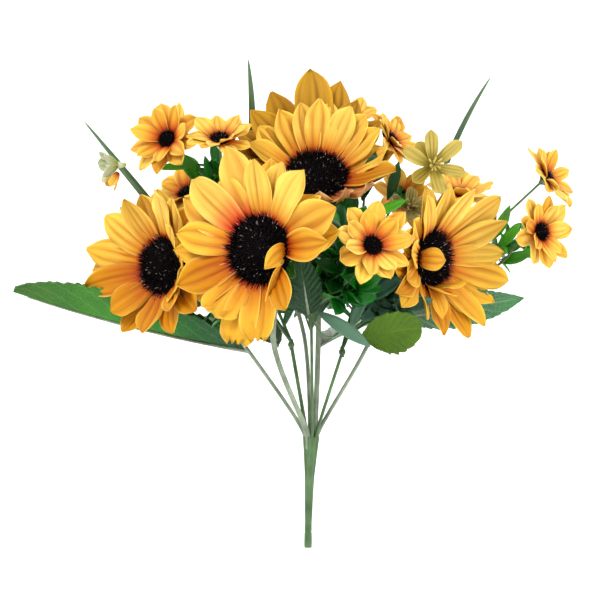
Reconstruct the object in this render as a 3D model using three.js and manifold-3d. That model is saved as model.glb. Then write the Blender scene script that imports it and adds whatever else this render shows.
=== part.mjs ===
// Artificial sunflower bush: one moulded stem that forks into eight wired stems, with large
// sunflower heads, sprays of small ones, leaves, grass blades and filler foliage.
// Millimetres, +Z up, the front of the bush faces -Y, origin at the flat cut under the stem.
import * as THREE from "three";
import { mergeVertices } from "three/addons/utils/BufferGeometryUtils.js";
import Module from "manifold-3d";

const wasm = await Module();
wasm.setup();

// ---- Driving dimensions -----------------------------------------------------------------
const GAP = 0.35; // clearance between neighbouring solids
const FORK_HEIGHT = 72; // top of the one-piece stem, where the eight stems leave it
const FORK_LEAN = 2; // the one-piece stem leans this far to the right by its top
const FORK_RING = 3.6; // radius of the ring on which the stems start
const STEM_START_RADIUS = 1.25;
const PETAL_THICKNESS = 1.6;
const DISC_HEIGHT = 9;
const CALYX_HEIGHT = 11;
const SMALL_REACH = 27; // small head, centre to petal tip, unless the head has its own
const SMALL_DISC = 6.5;
const SMALL_CUP = 6; // height of the green cup under a small head
const TWIG_RADIUS = 0.9;
const KNOB_RADIUS = 2.3;
const BLADE_THICKNESS = 1.2;

const COLOURS = {
  stem: 0x6b8a5c,
  petal: 0xf2b02c,
  disc: 0x1c1012,
  leaf: 0x3f7a34,
  brightLeaf: 0x5f8f1c,
  sageLeaf: 0x5f8064,
  foliage: 0x1f5a2c,
  grass: 0x5b7a4c,
  filler: 0xd8cf62,
};

const bush = new THREE.Group();
const vec = (x, y, z) => new THREE.Vector3(x, y, z);

function material(colour) {
  return new THREE.MeshStandardMaterial({ color: COLOURS[colour], roughness: 0.7, metalness: 0 });
}

function addMesh(name, geometry, colour, parent = bush) {
  const mesh = new THREE.Mesh(geometry, material(colour));
  mesh.name = name;
  parent.add(mesh);
  return mesh;
}

// ---- Solids for cutting and joining -------------------------------------------------------
function toSolid(geometry, matrix = new THREE.Matrix4()) {
  const flat = geometry.index ? geometry.toNonIndexed() : geometry.clone();
  const bare = new THREE.BufferGeometry();
  bare.setAttribute("position", flat.getAttribute("position").clone());
  const merged = mergeVertices(bare.applyMatrix4(matrix), 1e-3);
  return new wasm.Manifold(
    new wasm.Mesh({
      numProp: 3,
      vertProperties: merged.attributes.position.array,
      triVerts: new Uint32Array(merged.index.array),
    }),
  );
}

function toGeometry(solid) {
  const mesh = solid.getMesh();
  const geometry = new THREE.BufferGeometry();
  geometry.setAttribute("position", new THREE.BufferAttribute(mesh.vertProperties.slice(), 3));
  geometry.setIndex(new THREE.BufferAttribute(mesh.triVerts.slice(), 1));
  geometry.computeVertexNormals();
  return geometry;
}

function largestPiece(solid) {
  return solid.decompose().reduce((a, b) => (a.volume() > b.volume() ? a : b));
}

// ---- Tapering limbs -------------------------------------------------------------------------
// A cylinder bent along a curve: radiusAt(t) gives its radius from start (0) to end (1).
function bentCylinder(curve, radiusAt, sides, steps) {
  const geometry = new THREE.CylinderGeometry(1, 1, 1, sides, steps);
  const frames = curve.computeFrenetFrames(steps, false);
  const points = curve.getSpacedPoints(steps);
  const position = geometry.getAttribute("position");
  const at = new THREE.Vector3();
  for (let i = 0; i < position.count; i++) {
    at.fromBufferAttribute(position, i);
    const t = at.y + 0.5;
    const k = Math.round(t * steps);
    const radius = radiusAt(t);
    const moved = points[k]
      .clone()
      .addScaledVector(frames.normals[k], at.x * radius)
      .addScaledVector(frames.binormals[k], -at.z * radius);
    position.setXYZ(i, moved.x, moved.y, moved.z);
  }
  return geometry;
}

function facing(yaw, pitch) {
  const [a, b] = [yaw, pitch].map(THREE.MathUtils.degToRad);
  return vec(Math.sin(a) * Math.cos(b), -Math.cos(a) * Math.cos(b), Math.sin(b));
}

// ---- Flower heads -----------------------------------------------------------------------------
// A closed dish whose rim is cut into petals. Even petals belong to the outer, flatter layer and
// odd ones to the inner layer, which stands up more. Petals are longer by the fraction "rise"
// towards local +Y and shorter towards -Y. Local +Z is the way the head faces.
function petalDish({ petals, samples, reach, hub, valley, lifts, lengths, rise = 0, under, dome }) {
  const rings = [0, hub, reach];
  const top = rings.map((r) => new THREE.Vector2(r, 0));
  const bottom = rings.slice(1).map((r) => new THREE.Vector2(r, -PETAL_THICKNESS));
  const profile = [...top, ...bottom.reverse(), ...under];
  const geometry = new THREE.LatheGeometry(profile.reverse(), petals * samples);
  geometry.rotateX(Math.PI / 2).rotateZ(Math.PI / 2);
  const position = geometry.getAttribute("position");
  for (let i = 0; i < position.count; i++) {
    const [x, y, z] = [position.getX(i), position.getY(i), position.getZ(i)];
    const r = Math.hypot(x, y);
    if (r < 1e-6 && z > -1e-6) {
      position.setZ(i, dome);
      continue;
    }
    if (r <= hub + 1e-6) continue;
    const angle = Math.atan2(y, x);
    const turn = ((angle / (2 * Math.PI)) * petals + petals) % petals;
    const nearest = Math.round(turn) % petals;
    const off = Math.abs(turn - Math.round(turn)) * 2;
    const layer = petals % 2 ? 0 : nearest % 2;
    const tip = 1 - off ** 1.7;
    const longest = reach * lengths[layer] * (1 + rise * Math.sin(angle) ** 3);
    const full = hub + (valley + (1 - valley) * tip) * (longest - hub);
    const along = ((r - hub) / (reach - hub)) * (full - hub);
    const mean = (lifts[0] + lifts[1]) / 2;
    const lift = THREE.MathUtils.degToRad(mean + (lifts[layer] - mean) * tip);
    const out = hub + along * Math.cos(lift);
    position.setXYZ(i, out * Math.cos(angle), out * Math.sin(angle), z + along * Math.sin(lift));
  }
  return geometry;
}

function headGroup(centre, yaw, pitch, roll) {
  const group = new THREE.Group();
  group.up.set(0, 0, 1);
  group.position.copy(centre);
  group.lookAt(centre.clone().add(facing(yaw, pitch)));
  group.rotateZ(THREE.MathUtils.degToRad(roll));
  bush.add(group);
  return group;
}

const LARGE_PETALS = 14;
const SMALL_PETALS = 11;
function sunflower({ name, centre, yaw, pitch, roll, reach, disc, lifts, rise }) {
  const group = headGroup(centre, yaw, pitch, roll);
  const dish = petalDish({
    petals: LARGE_PETALS,
    samples: 4,
    reach,
    hub: disc,
    valley: 0.55,
    lifts,
    lengths: [1, 0.95],
    rise,
    under: [new THREE.Vector2(0, -PETAL_THICKNESS)],
    dome: 0,
  });
  addMesh(`${name}_petals`, dish, "petal", group);

  const dome = [new THREE.Vector2(0, 0), new THREE.Vector2(disc - 1, 0)];
  dome.push(new THREE.Vector2(disc - 0.5, DISC_HEIGHT * 0.4));
  dome.push(new THREE.Vector2(disc * 0.7, DISC_HEIGHT * 0.85), new THREE.Vector2(0, DISC_HEIGHT));
  const disk = addMesh(`${name}_disc`, new THREE.LatheGeometry(dome, 14), "disc", group);
  disk.geometry.rotateX(Math.PI / 2);
  disk.position.z = GAP;

  const cup = [new THREE.Vector2(0, -CALYX_HEIGHT), new THREE.Vector2(3.2, -CALYX_HEIGHT)];
  cup.push(new THREE.Vector2(disc * 0.55, -CALYX_HEIGHT * 0.55));
  cup.push(new THREE.Vector2(disc * 0.85, 0), new THREE.Vector2(0, 0));
  const calyx = addMesh(`${name}_calyx`, new THREE.LatheGeometry(cup, 10), "leaf", group);
  calyx.geometry.rotateX(Math.PI / 2);
  calyx.position.z = -PETAL_THICKNESS - GAP;
}

function smallSunflower({ name, centre, yaw, pitch, roll, reach = SMALL_REACH }) {
  const group = headGroup(centre, yaw, pitch, roll);
  const under = [new THREE.Vector2(2.4, -SMALL_CUP), new THREE.Vector2(0, -SMALL_CUP)];
  const dish = petalDish({
    petals: SMALL_PETALS,
    samples: 2,
    reach,
    hub: SMALL_DISC,
    valley: 0.7,
    lifts: [24, 24],
    lengths: [1, 1],
    under,
    dome: 3.5,
  });
  addMesh(name, dish, "petal", group);
}

function fillerFlower({ name, centre, yaw, pitch, roll, reach }) {
  const group = headGroup(centre, yaw, pitch, roll);
  const under = [new THREE.Vector2(1.6, -5), new THREE.Vector2(0, -5)];
  const dish = petalDish({
    petals: 6,
    samples: 3,
    reach,
    hub: 2.6,
    valley: 0.3,
    lifts: [25, 25],
    lengths: [1, 1],
    under,
    dome: 1,
  });
  addMesh(name, dish, "filler", group);
}

const backOf = ({ centre, yaw, pitch }, depth) =>
  centre.clone().addScaledVector(facing(yaw, pitch), -depth);

// ---- Leaves and grass ---------------------------------------------------------------------------
// A thin blade along a bowed midrib. Its halves are folded up from the midrib by fold degrees.
function blade({ base, tip, bow, across, width, fold = 0, steps = 7, grass = false }) {
  const middle = base.clone().lerp(tip, 0.5).add(bow);
  const rib = new THREE.QuadraticBezierCurve3(base, middle, tip);
  const geometry = new THREE.BoxGeometry(2, 1, 1, grass ? 1 : 2, steps, 1);
  const position = geometry.getAttribute("position");
  const slope = THREE.MathUtils.degToRad(fold);
  for (let i = 0; i < position.count; i++) {
    const t = THREE.MathUtils.clamp(position.getY(i) + 0.5, 0, 1);
    const s = position.getX(i);
    const along = rib.getTangent(t);
    const side = across.clone().addScaledVector(along, -across.dot(along)).normalize();
    const up = side.clone().cross(along).normalize();
    const shape = grass ? Math.sqrt(Math.max(0, 1 - t)) : Math.max(0, Math.sin(Math.PI * t ** 0.85)) ** 0.8;
    const half = Math.max(0.5, (width / 2) * shape);
    const at = rib
      .getPoint(t)
      .addScaledVector(side, s * half * Math.cos(slope))
      .addScaledVector(up, Math.abs(s) * half * Math.sin(slope))
      .addScaledVector(up, position.getZ(i) * BLADE_THICKNESS);
    position.setXYZ(i, at.x, at.y, at.z);
  }
  return geometry;
}

// ---- The one-piece stem ---------------------------------------------------------------------------
function mainStem() {
  const outline = [
    [0, 0],
    [2.3, 0],
    [2.6, 1.5],
    [2.3, 16],
    [3.1, 46],
    [4.2, 62],
    [5.3, FORK_HEIGHT],
    [0, FORK_HEIGHT],
  ].map(([r, z]) => new THREE.Vector2(r, z));
  const geometry = new THREE.LatheGeometry(outline, 14);
  geometry.rotateX(Math.PI / 2);
  const position = geometry.getAttribute("position");
  for (let i = 0; i < position.count; i++) {
    const lean = Math.max(0, position.getZ(i) / FORK_HEIGHT) ** 1.5 * FORK_LEAN;
    position.setX(i, position.getX(i) + lean);
  }
  addMesh("main_stem", geometry, "stem");
}

// ---- Layout -----------------------------------------------------------------------------------------
// A head's yaw turns it from the front (-Y) towards +X, and its pitch tips it up. Lifts are the
// angles, outer layer then inner layer, by which its petals stand up from the plane of the head.
const LARGE = {
  left: {
    centre: vec(-95, 14, 183),
    yaw: -40,
    pitch: 4,
    roll: 0,
    reach: 66,
    disc: 19.5,
    lifts: [50, 56],
  },
  front: {
    centre: vec(-29, -64, 191),
    yaw: -28,
    pitch: 2,
    roll: 10,
    reach: 63,
    disc: 21.5,
    lifts: [8, 26],
  },
  top: {
    centre: vec(6, 14, 242),
    yaw: 3,
    pitch: 36,
    roll: -11,
    reach: 66,
    rise: 0.15,
    disc: 21.5,
    lifts: [26, 42],
  },
  right: {
    centre: vec(80, 4, 187),
    yaw: 50,
    pitch: -4,
    roll: 8,
    reach: 66,
    disc: 19.5,
    lifts: [48, 56],
  },
  back: {
    centre: vec(-12, 66, 200),
    yaw: 172,
    pitch: 22,
    roll: 0,
    reach: 56,
    disc: 20,
    lifts: [10, 26],
  },
};

const SMALL = {
  left_outer: { centre: vec(-93, 20, 267), yaw: -22, pitch: 14, roll: 0 },
  left_inner: { centre: vec(-57, -6, 264), yaw: -5, pitch: 52, roll: 12, reach: 24 },
  left_low: { centre: vec(-84, 62, 234), yaw: -30, pitch: 40, roll: 5 },
  centre_front: { centre: vec(38, -68, 193), yaw: 14, pitch: 18, roll: 8 },
  centre_top: { centre: vec(30, 64, 284), yaw: 10, pitch: 50, roll: 0, reach: 24 },
  centre_high: { centre: vec(57, 50, 270), yaw: 58, pitch: 30, roll: 9, reach: 24 },
  right_low: { centre: vec(152, 8, 205), yaw: 36, pitch: 2, roll: 0, reach: 25 },
  right_high: { centre: vec(161, 32, 242), yaw: 58, pitch: 26, roll: 6, reach: 25 },
  right_inner: { centre: vec(104, 46, 232), yaw: 24, pitch: 60, roll: 0 },
  back_right: { centre: vec(66, 72, 232), yaw: 140, pitch: 28, roll: 4 },
  back_left: { centre: vec(-78, 84, 192), yaw: 205, pitch: 16, roll: 10 },
};

const FILLER = {
  right: { centre: vec(79, -18, 246), yaw: 8, pitch: 6, roll: 30, reach: 22 },
  left: { centre: vec(-123, -2, 248), yaw: -70, pitch: -4, roll: 0, reach: 15 },
  middle: { centre: vec(66, -2, 220), yaw: 20, pitch: 30, roll: 15, reach: 14 },
};

// Each stem leaves the fork ring at its angle (0 is +X, 90 is the back), passes its waist and
// ends at the back of its head, or at the knob of its spray. A spray's twigs each pass a point
// of their own on the way from the knob to a small head.
const HEAD_STEMS = {
  stem_left: { angle: 185, waist: vec(-38, 6, 126), radius: 1.3, head: LARGE.left },
  stem_front: { angle: 235, waist: vec(-22, -22, 134), radius: 1.8, head: LARGE.front },
  stem_top: { angle: 55, waist: vec(7, 12, 150), radius: 1.8, head: LARGE.top },
  stem_right: { angle: 10, waist: vec(39, 6, 131), radius: 1.3, head: LARGE.right },
  stem_back: { angle: 100, waist: vec(-2, 26, 134), radius: 1.4, head: LARGE.back },
};
const SPRAY_STEMS = {
  spray_left: {
    angle: 140,
    knob: vec(-11, 14, 131),
    radius: 1.3,
    twigs: [
      [SMALL.left_outer, vec(-60, 22, 206)],
      [SMALL.left_inner, vec(-40, 24, 202)],
      [SMALL.left_low, vec(-54, 46, 190)],
      [SMALL.back_left, vec(-34, 52, 160)],
    ],
  },
  spray_centre: {
    angle: 280,
    knob: vec(2, -14, 152),
    radius: 1.0,
    twigs: [
      [SMALL.centre_front, vec(24, -34, 172)],
      [SMALL.centre_high, vec(34, 38, 205)],
      [SMALL.centre_top, vec(22, 44, 215)],
    ],
  },
  spray_right: {
    angle: 325,
    knob: vec(22, -8, 127),
    radius: 1.1,
    twigs: [
      [SMALL.right_low, vec(34, 14, 148), vec(98, 44, 170), vec(132, 42, 186)],
      [SMALL.right_high, vec(33, 15, 150), vec(94, 52, 182)],
      [SMALL.right_inner, vec(31, 16, 152), vec(74, 54, 184)],
      [SMALL.back_right, vec(29, 17, 152)],
    ],
  },
};

const LEAVES = {
  leaf_left_large: {
    base: vec(-39, 12, 127),
    tip: vec(-198, 30, 166),
    bow: vec(-4, 28, -7),
    across: vec(0, 1, 0.1),
    width: 46,
    fold: 75,
    colour: "leaf",
  },
  leaf_right_large: {
    base: vec(64, 20, 149),
    tip: vec(147, 42, 162),
    bow: vec(0, 8, 0),
    across: vec(0.1, 0.5, -0.85),
    width: 30,
    fold: 8,
    colour: "sageLeaf",
  },
  leaf_right_bright: {
    base: vec(34, -20, 138),
    tip: vec(72, -34, 141),
    bow: vec(0, -4, 2),
    across: vec(0.1, 0.35, -0.9),
    width: 29,
    fold: 6,
    colour: "brightLeaf",
  },
  leaf_centre_round: {
    base: vec(0, -34, 152),
    tip: vec(-5, -44, 186),
    bow: vec(0, -3, 0),
    across: vec(1, 0, 0.1),
    width: 18,
    fold: 4,
    colour: "foliage",
  },
  leaf_back_large: {
    base: vec(8, 34, 130),
    tip: vec(84, 118, 150),
    bow: vec(0, 0, 10),
    across: vec(0.75, -0.65, 0.2),
    width: 48,
    fold: 12,
    colour: "leaf",
  },
  leaf_back_left: {
    base: vec(-20, 34, 130),
    tip: vec(-84, 116, 146),
    bow: vec(0, 0, 12),
    across: vec(0.78, 0.6, 0.15),
    width: 44,
    fold: 12,
    colour: "sageLeaf",
  },
};

const GRASS = {
  grass_left: { base: vec(-96, 32, 214), tip: vec(-146, 4, 277), bow: vec(3, 0, -3), width: 6 },
  grass_top: { base: vec(-38, 46, 262), tip: vec(-40, 30, 322), bow: vec(2, 0, 0), width: 7 },
  grass_right: { base: vec(92, 20, 252), tip: vec(120, 10, 307), bow: vec(-3, 0, 2), width: 5.5 },
  grass_back: { base: vec(20, 84, 220), tip: vec(44, 112, 286), bow: vec(0, 4, 6), width: 6 },
};

const MASSES = {
  foliage_centre: { centre: vec(22, -22, 182), size: vec(21, 15, 26) },
  foliage_low_right: { centre: vec(50, -8, 157), size: vec(17, 11, 10) },
  foliage_low_left: { centre: vec(-46, -6, 157), size: vec(22, 13, 13) },
  foliage_top_left: { centre: vec(-70, 22, 249), size: vec(12, 9, 9) },
  foliage_right: { centre: vec(123, 18, 201), size: vec(11, 10, 12) },
  foliage_back: { centre: vec(6, 36, 176), size: vec(38, 12, 20) },
};

// ---- Assembly -----------------------------------------------------------------------------------------
function forkPoint(angle) {
  const a = THREE.MathUtils.degToRad(angle);
  return vec(FORK_LEAN + FORK_RING * Math.cos(a), FORK_RING * Math.sin(a), FORK_HEIGHT);
}

// Limbs swell from the fork to their full thickness over the first tenth of their length.
function limbRadius(full, end) {
  return (t) => {
    const swell = Math.min(1, t / 0.1);
    return (STEM_START_RADIUS + (full - STEM_START_RADIUS) * swell) * (1 - t) + end * t;
  };
}

function stemBetween(angle, points, radiusAt, steps) {
  const start = forkPoint(angle).add(vec(0, 0, GAP + 0.6));
  const curve = new THREE.CatmullRomCurve3([start, ...points], false, "centripetal");
  return bentCylinder(curve, radiusAt, 6, steps);
}

mainStem();
for (const [key, head] of Object.entries(LARGE)) sunflower({ name: `sunflower_${key}`, ...head });
for (const [key, head] of Object.entries(SMALL)) {
  smallSunflower({ name: `small_${key}`, ...head });
}
for (const [key, head] of Object.entries(FILLER)) fillerFlower({ name: `filler_${key}`, ...head });

const limbs = [];
for (const [name, { angle, waist, radius, head }] of Object.entries(HEAD_STEMS)) {
  const end = backOf(head, PETAL_THICKNESS + CALYX_HEIGHT + 3 * GAP + 0.3);
  const neck = backOf(head, 26).add(vec(0, 0, -6));
  limbs.push([name, stemBetween(angle, [waist, neck, end], limbRadius(radius, radius), 8)]);
}
for (const [name, { angle, knob, radius, twigs }] of Object.entries(SPRAY_STEMS)) {
  const stem = toSolid(stemBetween(angle, [knob], limbRadius(radius, radius * 0.9), 5));
  const ball = new THREE.SphereGeometry(KNOB_RADIUS, 8, 6).translate(knob.x, knob.y, knob.z);
  limbs.push([`${name}_stem`, toGeometry(stem.add(toSolid(ball)))]);
  const start = knob.clone().add(vec(0, 0, KNOB_RADIUS + GAP + 0.6));
  const solids = twigs.map(([head, ...via]) => {
    const end = backOf(head, SMALL_CUP + GAP + 0.2);
    const neck = backOf(head, SMALL_CUP + 12).add(vec(0, 0, -4));
    const curve = new THREE.CatmullRomCurve3([start, ...via, neck, end], false, "centripetal");
    return toSolid(bentCylinder(curve, (t) => TWIG_RADIUS * (1.3 - 0.3 * t), 5, 7));
  });
  limbs.push([`${name}_twigs`, toGeometry(wasm.Manifold.union(solids))]);
}
for (const [name, geometry] of limbs) addMesh(name, geometry, "stem");
for (const [name, leaf] of Object.entries(LEAVES)) addMesh(name, blade(leaf), leaf.colour);
for (const [name, leaf] of Object.entries(GRASS)) {
  const shape = { ...leaf, across: vec(1, 0.2, 0.3), grass: true, steps: 5 };
  addMesh(name, blade(shape), "grass");
}

// Each mass of foliage is an uneven ball, cut back from every solid that runs through it.
bush.updateMatrixWorld(true);
const neighbours = [];
bush.traverse((o) => {
  if (o.isMesh) neighbours.push(toSolid(o.geometry, o.matrixWorld));
});
const SHIFTS = [vec(1, 0, 0), vec(-1, 0, 0), vec(0, 1, 0), vec(0, -1, 0), vec(0, 0, 1), vec(0, 0, -1)];
for (const [name, { centre, size }] of Object.entries(MASSES)) {
  const geometry = new THREE.IcosahedronGeometry(1, 1);
  const position = geometry.getAttribute("position");
  const at = new THREE.Vector3();
  for (let i = 0; i < position.count; i++) {
    at.fromBufferAttribute(position, i);
    const phase = centre.x * 0.13 + centre.z * 0.07;
    const lumps = Math.sin(4.1 * at.x + phase) + Math.sin(5.3 * at.y + 2 * phase);
    const uneven = 1 + 0.06 * (lumps + Math.sin(4.7 * at.z + 3 * phase));
    at.multiply(size).multiplyScalar(uneven).add(centre);
    position.setXYZ(i, at.x, at.y, at.z);
  }
  let mass = toSolid(geometry);
  for (const other of neighbours) {
    if (mass.intersect(other).volume() < 1e-4) continue;
    for (const shift of SHIFTS) {
      const { x, y, z } = shift.clone().multiplyScalar(GAP);
      mass = mass.subtract(other.translate(x, y, z));
    }
  }
  mass = largestPiece(mass.simplify(GAP / 3));
  neighbours.push(mass);
  addMesh(name, toGeometry(mass), "foliage");
}

export default bush;
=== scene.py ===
"""Artificial sunflower bush: its looks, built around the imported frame.

Metres, +Z up, the front of the bush faces -Y. Angles are in degrees unless a name says otherwise.
"""

import math
import random

import bpy
import numpy as np
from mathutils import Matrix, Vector


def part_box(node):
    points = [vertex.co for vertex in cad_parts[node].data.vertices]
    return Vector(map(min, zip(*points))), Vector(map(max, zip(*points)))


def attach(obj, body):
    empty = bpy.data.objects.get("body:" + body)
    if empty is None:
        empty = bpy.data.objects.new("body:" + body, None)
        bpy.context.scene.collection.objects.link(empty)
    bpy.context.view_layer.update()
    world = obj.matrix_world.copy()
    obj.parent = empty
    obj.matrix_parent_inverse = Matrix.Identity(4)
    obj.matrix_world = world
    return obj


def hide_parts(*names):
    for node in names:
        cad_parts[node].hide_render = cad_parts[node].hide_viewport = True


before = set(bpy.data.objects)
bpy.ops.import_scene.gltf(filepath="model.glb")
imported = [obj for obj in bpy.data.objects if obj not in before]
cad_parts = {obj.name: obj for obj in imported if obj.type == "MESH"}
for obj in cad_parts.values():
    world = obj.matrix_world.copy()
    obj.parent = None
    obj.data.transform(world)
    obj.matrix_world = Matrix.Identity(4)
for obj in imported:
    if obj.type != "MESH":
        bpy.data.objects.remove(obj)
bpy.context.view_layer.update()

MM = 0.001
UP = Vector((0, 0, 1))
GOLDEN_ANGLE = math.pi * (3 - math.sqrt(5))

# ---- Driving dimensions, the same as the frame's ----
FORK_HEIGHT = 72 * MM
FORK_LEAN = 2 * MM
FORK_RING = 3.6 * MM
PETAL_THICKNESS = 1.6 * MM
CALYX_HEIGHT = 11 * MM
GAP = 0.35 * MM
SMALL_REACH = 27 * MM
SMALL_DISC = 6.5 * MM
SMALL_CUP = 6 * MM
FILLER_CUP = 5 * MM
KNOB_RADIUS = 2.3 * MM

# ---- Sizes of the looks alone ----
SHEET_THICKNESS = 0.35 * MM
THIN_LEAF = 0.3 * MM
TWIG_KNOB = 1.3 * MM
LEAST = 1e-12  # stands for a length of nothing
OFF_AXIS = (0.31, 0.95, 0.02)  # a direction that no tube starts along


def mm(x, y, z):
    return Vector((x, y, z)) * MM


def smoothstep(x):
    x = np.clip(x, 0, 1)
    return x * x * (3 - 2 * x)


# ---- Meshes in the making ----
MARKS = ("along", "across", "tint", "relief")


class Piece:
    """One mesh in the making. Each point is marked with how far along and across its blade it
    lies, a tone of its own, which on petals is their painted light and shade, and how high it stands in
    its blade's relief."""

    def __init__(self):
        self.points, self.faces, self.slots = [], [], []
        self.marks = {mark: [] for mark in MARKS}
        self.count = 0

    def add(self, points, faces, slot=0, **marks):
        """Adds points, as a list or as rows of them, with marks that spread over them."""
        points = np.asarray(points, float)
        self.faces += [tuple(int(i) + self.count for i in face) for face in faces]
        self.slots += [slot] * len(faces)
        for mark in MARKS:
            value = np.broadcast_to(marks.get(mark, 0.5), points.shape[:-1])
            self.marks[mark].append(value.ravel())
        self.points.append(points.reshape(-1, 3))
        self.count += points.size // 3

    def build(self, name, materials, slot, replaces=(), thickness=0.0):
        mesh = bpy.data.meshes.new(name)
        mesh.from_pydata(np.vstack(self.points).tolist(), [], self.faces)
        for mark, values in self.marks.items():
            layer = mesh.attributes.new(mark, "FLOAT", "POINT")
            layer.data.foreach_set("value", np.concatenate(values).astype(np.float32))
        mesh.polygons.foreach_set("material_index", self.slots)
        mesh.shade_smooth()
        for material in materials:
            mesh.materials.append(material)
        obj = bpy.data.objects.new(name, mesh)
        bpy.context.scene.collection.objects.link(obj)
        if thickness:
            solid = obj.modifiers.new("thickness", "SOLIDIFY")
            solid.thickness = thickness
            solid.offset = 0
        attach(obj, "root")
        if replaces:
            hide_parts(*replaces)


def grid(rows, cols, closed=False):
    """Quads between rows of points; closed joins each row's last point to its first."""
    r, c = np.meshgrid(np.arange(rows - 1), np.arange(cols if closed else cols - 1), indexing="ij")
    after = (c + 1) % cols
    quads = [r * cols + c, r * cols + after, (r + 1) * cols + after, (r + 1) * cols + c]
    return np.stack(quads, -1).reshape(-1, 4)


def unit(vectors):
    return vectors / np.maximum(np.linalg.norm(vectors, axis=-1, keepdims=True), LEAST)


def smooth_path(points, steps, dense_steps=24):
    """A centripetal Catmull-Rom curve through the points, cut into even steps."""
    p = np.array([tuple(v) for v in points], float)
    p = np.vstack([2 * p[0] - p[1], p, 2 * p[-1] - p[-2]])
    dense = []
    for a, b, c, d in zip(p, p[1:], p[2:], p[3:]):
        u, v, w = (max(np.linalg.norm(y - x) ** 0.5, 1e-6) for x, y in ((a, b), (b, c), (c, d)))
        start = ((b - a) / u - (c - a) / (u + v) + (c - b) / v) * v
        end = ((c - b) / v - (d - b) / (v + w) + (d - c) / w) * v
        t = np.linspace(0, 1, dense_steps, endpoint=False)[:, None]
        cubic = b * (2 * t**3 - 3 * t**2 + 1) + start * (t**3 - 2 * t**2 + t)
        dense.append(cubic + c * (3 * t**2 - 2 * t**3) + end * (t**3 - t**2))
    dense = np.vstack([*dense, p[-2]])
    lengths = np.concatenate([[0], np.cumsum(np.linalg.norm(np.diff(dense, axis=0), axis=1))])
    even = np.linspace(0, lengths[-1], steps + 1)
    return np.stack([np.interp(even, lengths, dense[:, k]) for k in range(3)], -1)


def tangents(path):
    return unit(np.gradient(path, axis=0))


def tube(piece, path, radius, sides=8, lobes=None, slot=0, tint=0.5):
    """A closed tube along a path. radius(t) is its radius from start (0) to end (1), and
    lobes(t, angle) multiplies it where the tube is fluted."""
    path = np.asarray(path, float)
    along = tangents(path)
    across = np.cross(along[0], OFF_AXIS)
    normals = []
    for direction in along:
        across = unit(across - direction * (across @ direction))
        normals.append(across)
    normals = np.array(normals)
    binormals = np.cross(along, normals)
    t = np.linspace(0, 1, len(path))[:, None]
    angle = np.arange(sides)[None] * 2 * math.pi / sides
    size = np.vectorize(radius)(t)
    if lobes:
        size = size * lobes(t, angle)
    ring = np.cos(angle)[..., None] * normals[:, None]
    ring = ring + np.sin(angle)[..., None] * binormals[:, None]
    points = path[:, None] + size[..., None] * ring
    faces = [tuple(q) for q in grid(len(path), sides, closed=True)[:, ::-1]]
    last = (len(path) - 1) * sides
    faces += [tuple(range(sides)), tuple(last + i for i in reversed(range(sides)))]
    piece.add(points, faces, slot, along=t, across=np.cos(angle), tint=tint)


def blade(piece, rib, side, half_width, cols=9, fold=0, relief=None, trim=None, slot=0, tint=0.5):
    """A blade along a rib. side is the way its right half points, half_width(t) its half width,
    fold the angle its halves stand up from the rib, relief(t, s) what its face is raised by, and
    trim(t, s) what it is lengthened by."""
    rib = np.asarray(rib, float)
    rows = len(rib)
    along = tangents(rib)
    side = np.broadcast_to(np.asarray(side, float), (rows, 3))
    side = unit(side - along * np.sum(side * along, -1, keepdims=True))
    up = np.cross(side, along)
    t = np.linspace(0, 1, rows)[:, None]
    s = np.linspace(-1, 1, cols)[None]
    half = np.vectorize(half_width)(t)
    slope = math.radians(fold)
    sideways = s * half * math.cos(slope)
    height = np.abs(s) * half * math.sin(slope)
    raised = np.broadcast_to(relief(t, s) if relief else 0.0, (rows, cols))
    lift = (height + raised)[..., None] * up[:, None]
    points = rib[:, None] + sideways[..., None] * side[:, None] + lift
    if trim:
        points = points + trim(t, s)[..., None] * along[:, None]
    spread = max(np.ptp(raised), 1e-9)
    marks = {"along": t, "across": s, "relief": (raised - raised.min()) / spread, "tint": tint}
    piece.add(points, grid(rows, cols), slot, **marks)


# ---- Procedural materials ----
MIX_A, MIX_B, MIX_RESULT = 6, 7, 2  # the Mix node's sockets for colours
THREAD_SCALE = 1300 / 3  # of the wave texture: a thread about every 0.7 mm
SIDE_VEINS, VEIN_SLANT = 9.0, 2.4  # how many a leaf has, and how many spacings each one slants over


def srgb(code):
    """A colour code such as "f2b02c" as linear red, green, blue and alpha."""
    channels = [int(code[i : i + 2], 16) / 255 for i in (0, 2, 4)]
    linear = [c / 12.92 if c <= 0.04045 else ((c + 0.055) / 1.055) ** 2.4 for c in channels]
    return (*linear, 1.0)


def colour_or_socket(value):
    return srgb(value) if isinstance(value, str) else value


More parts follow.
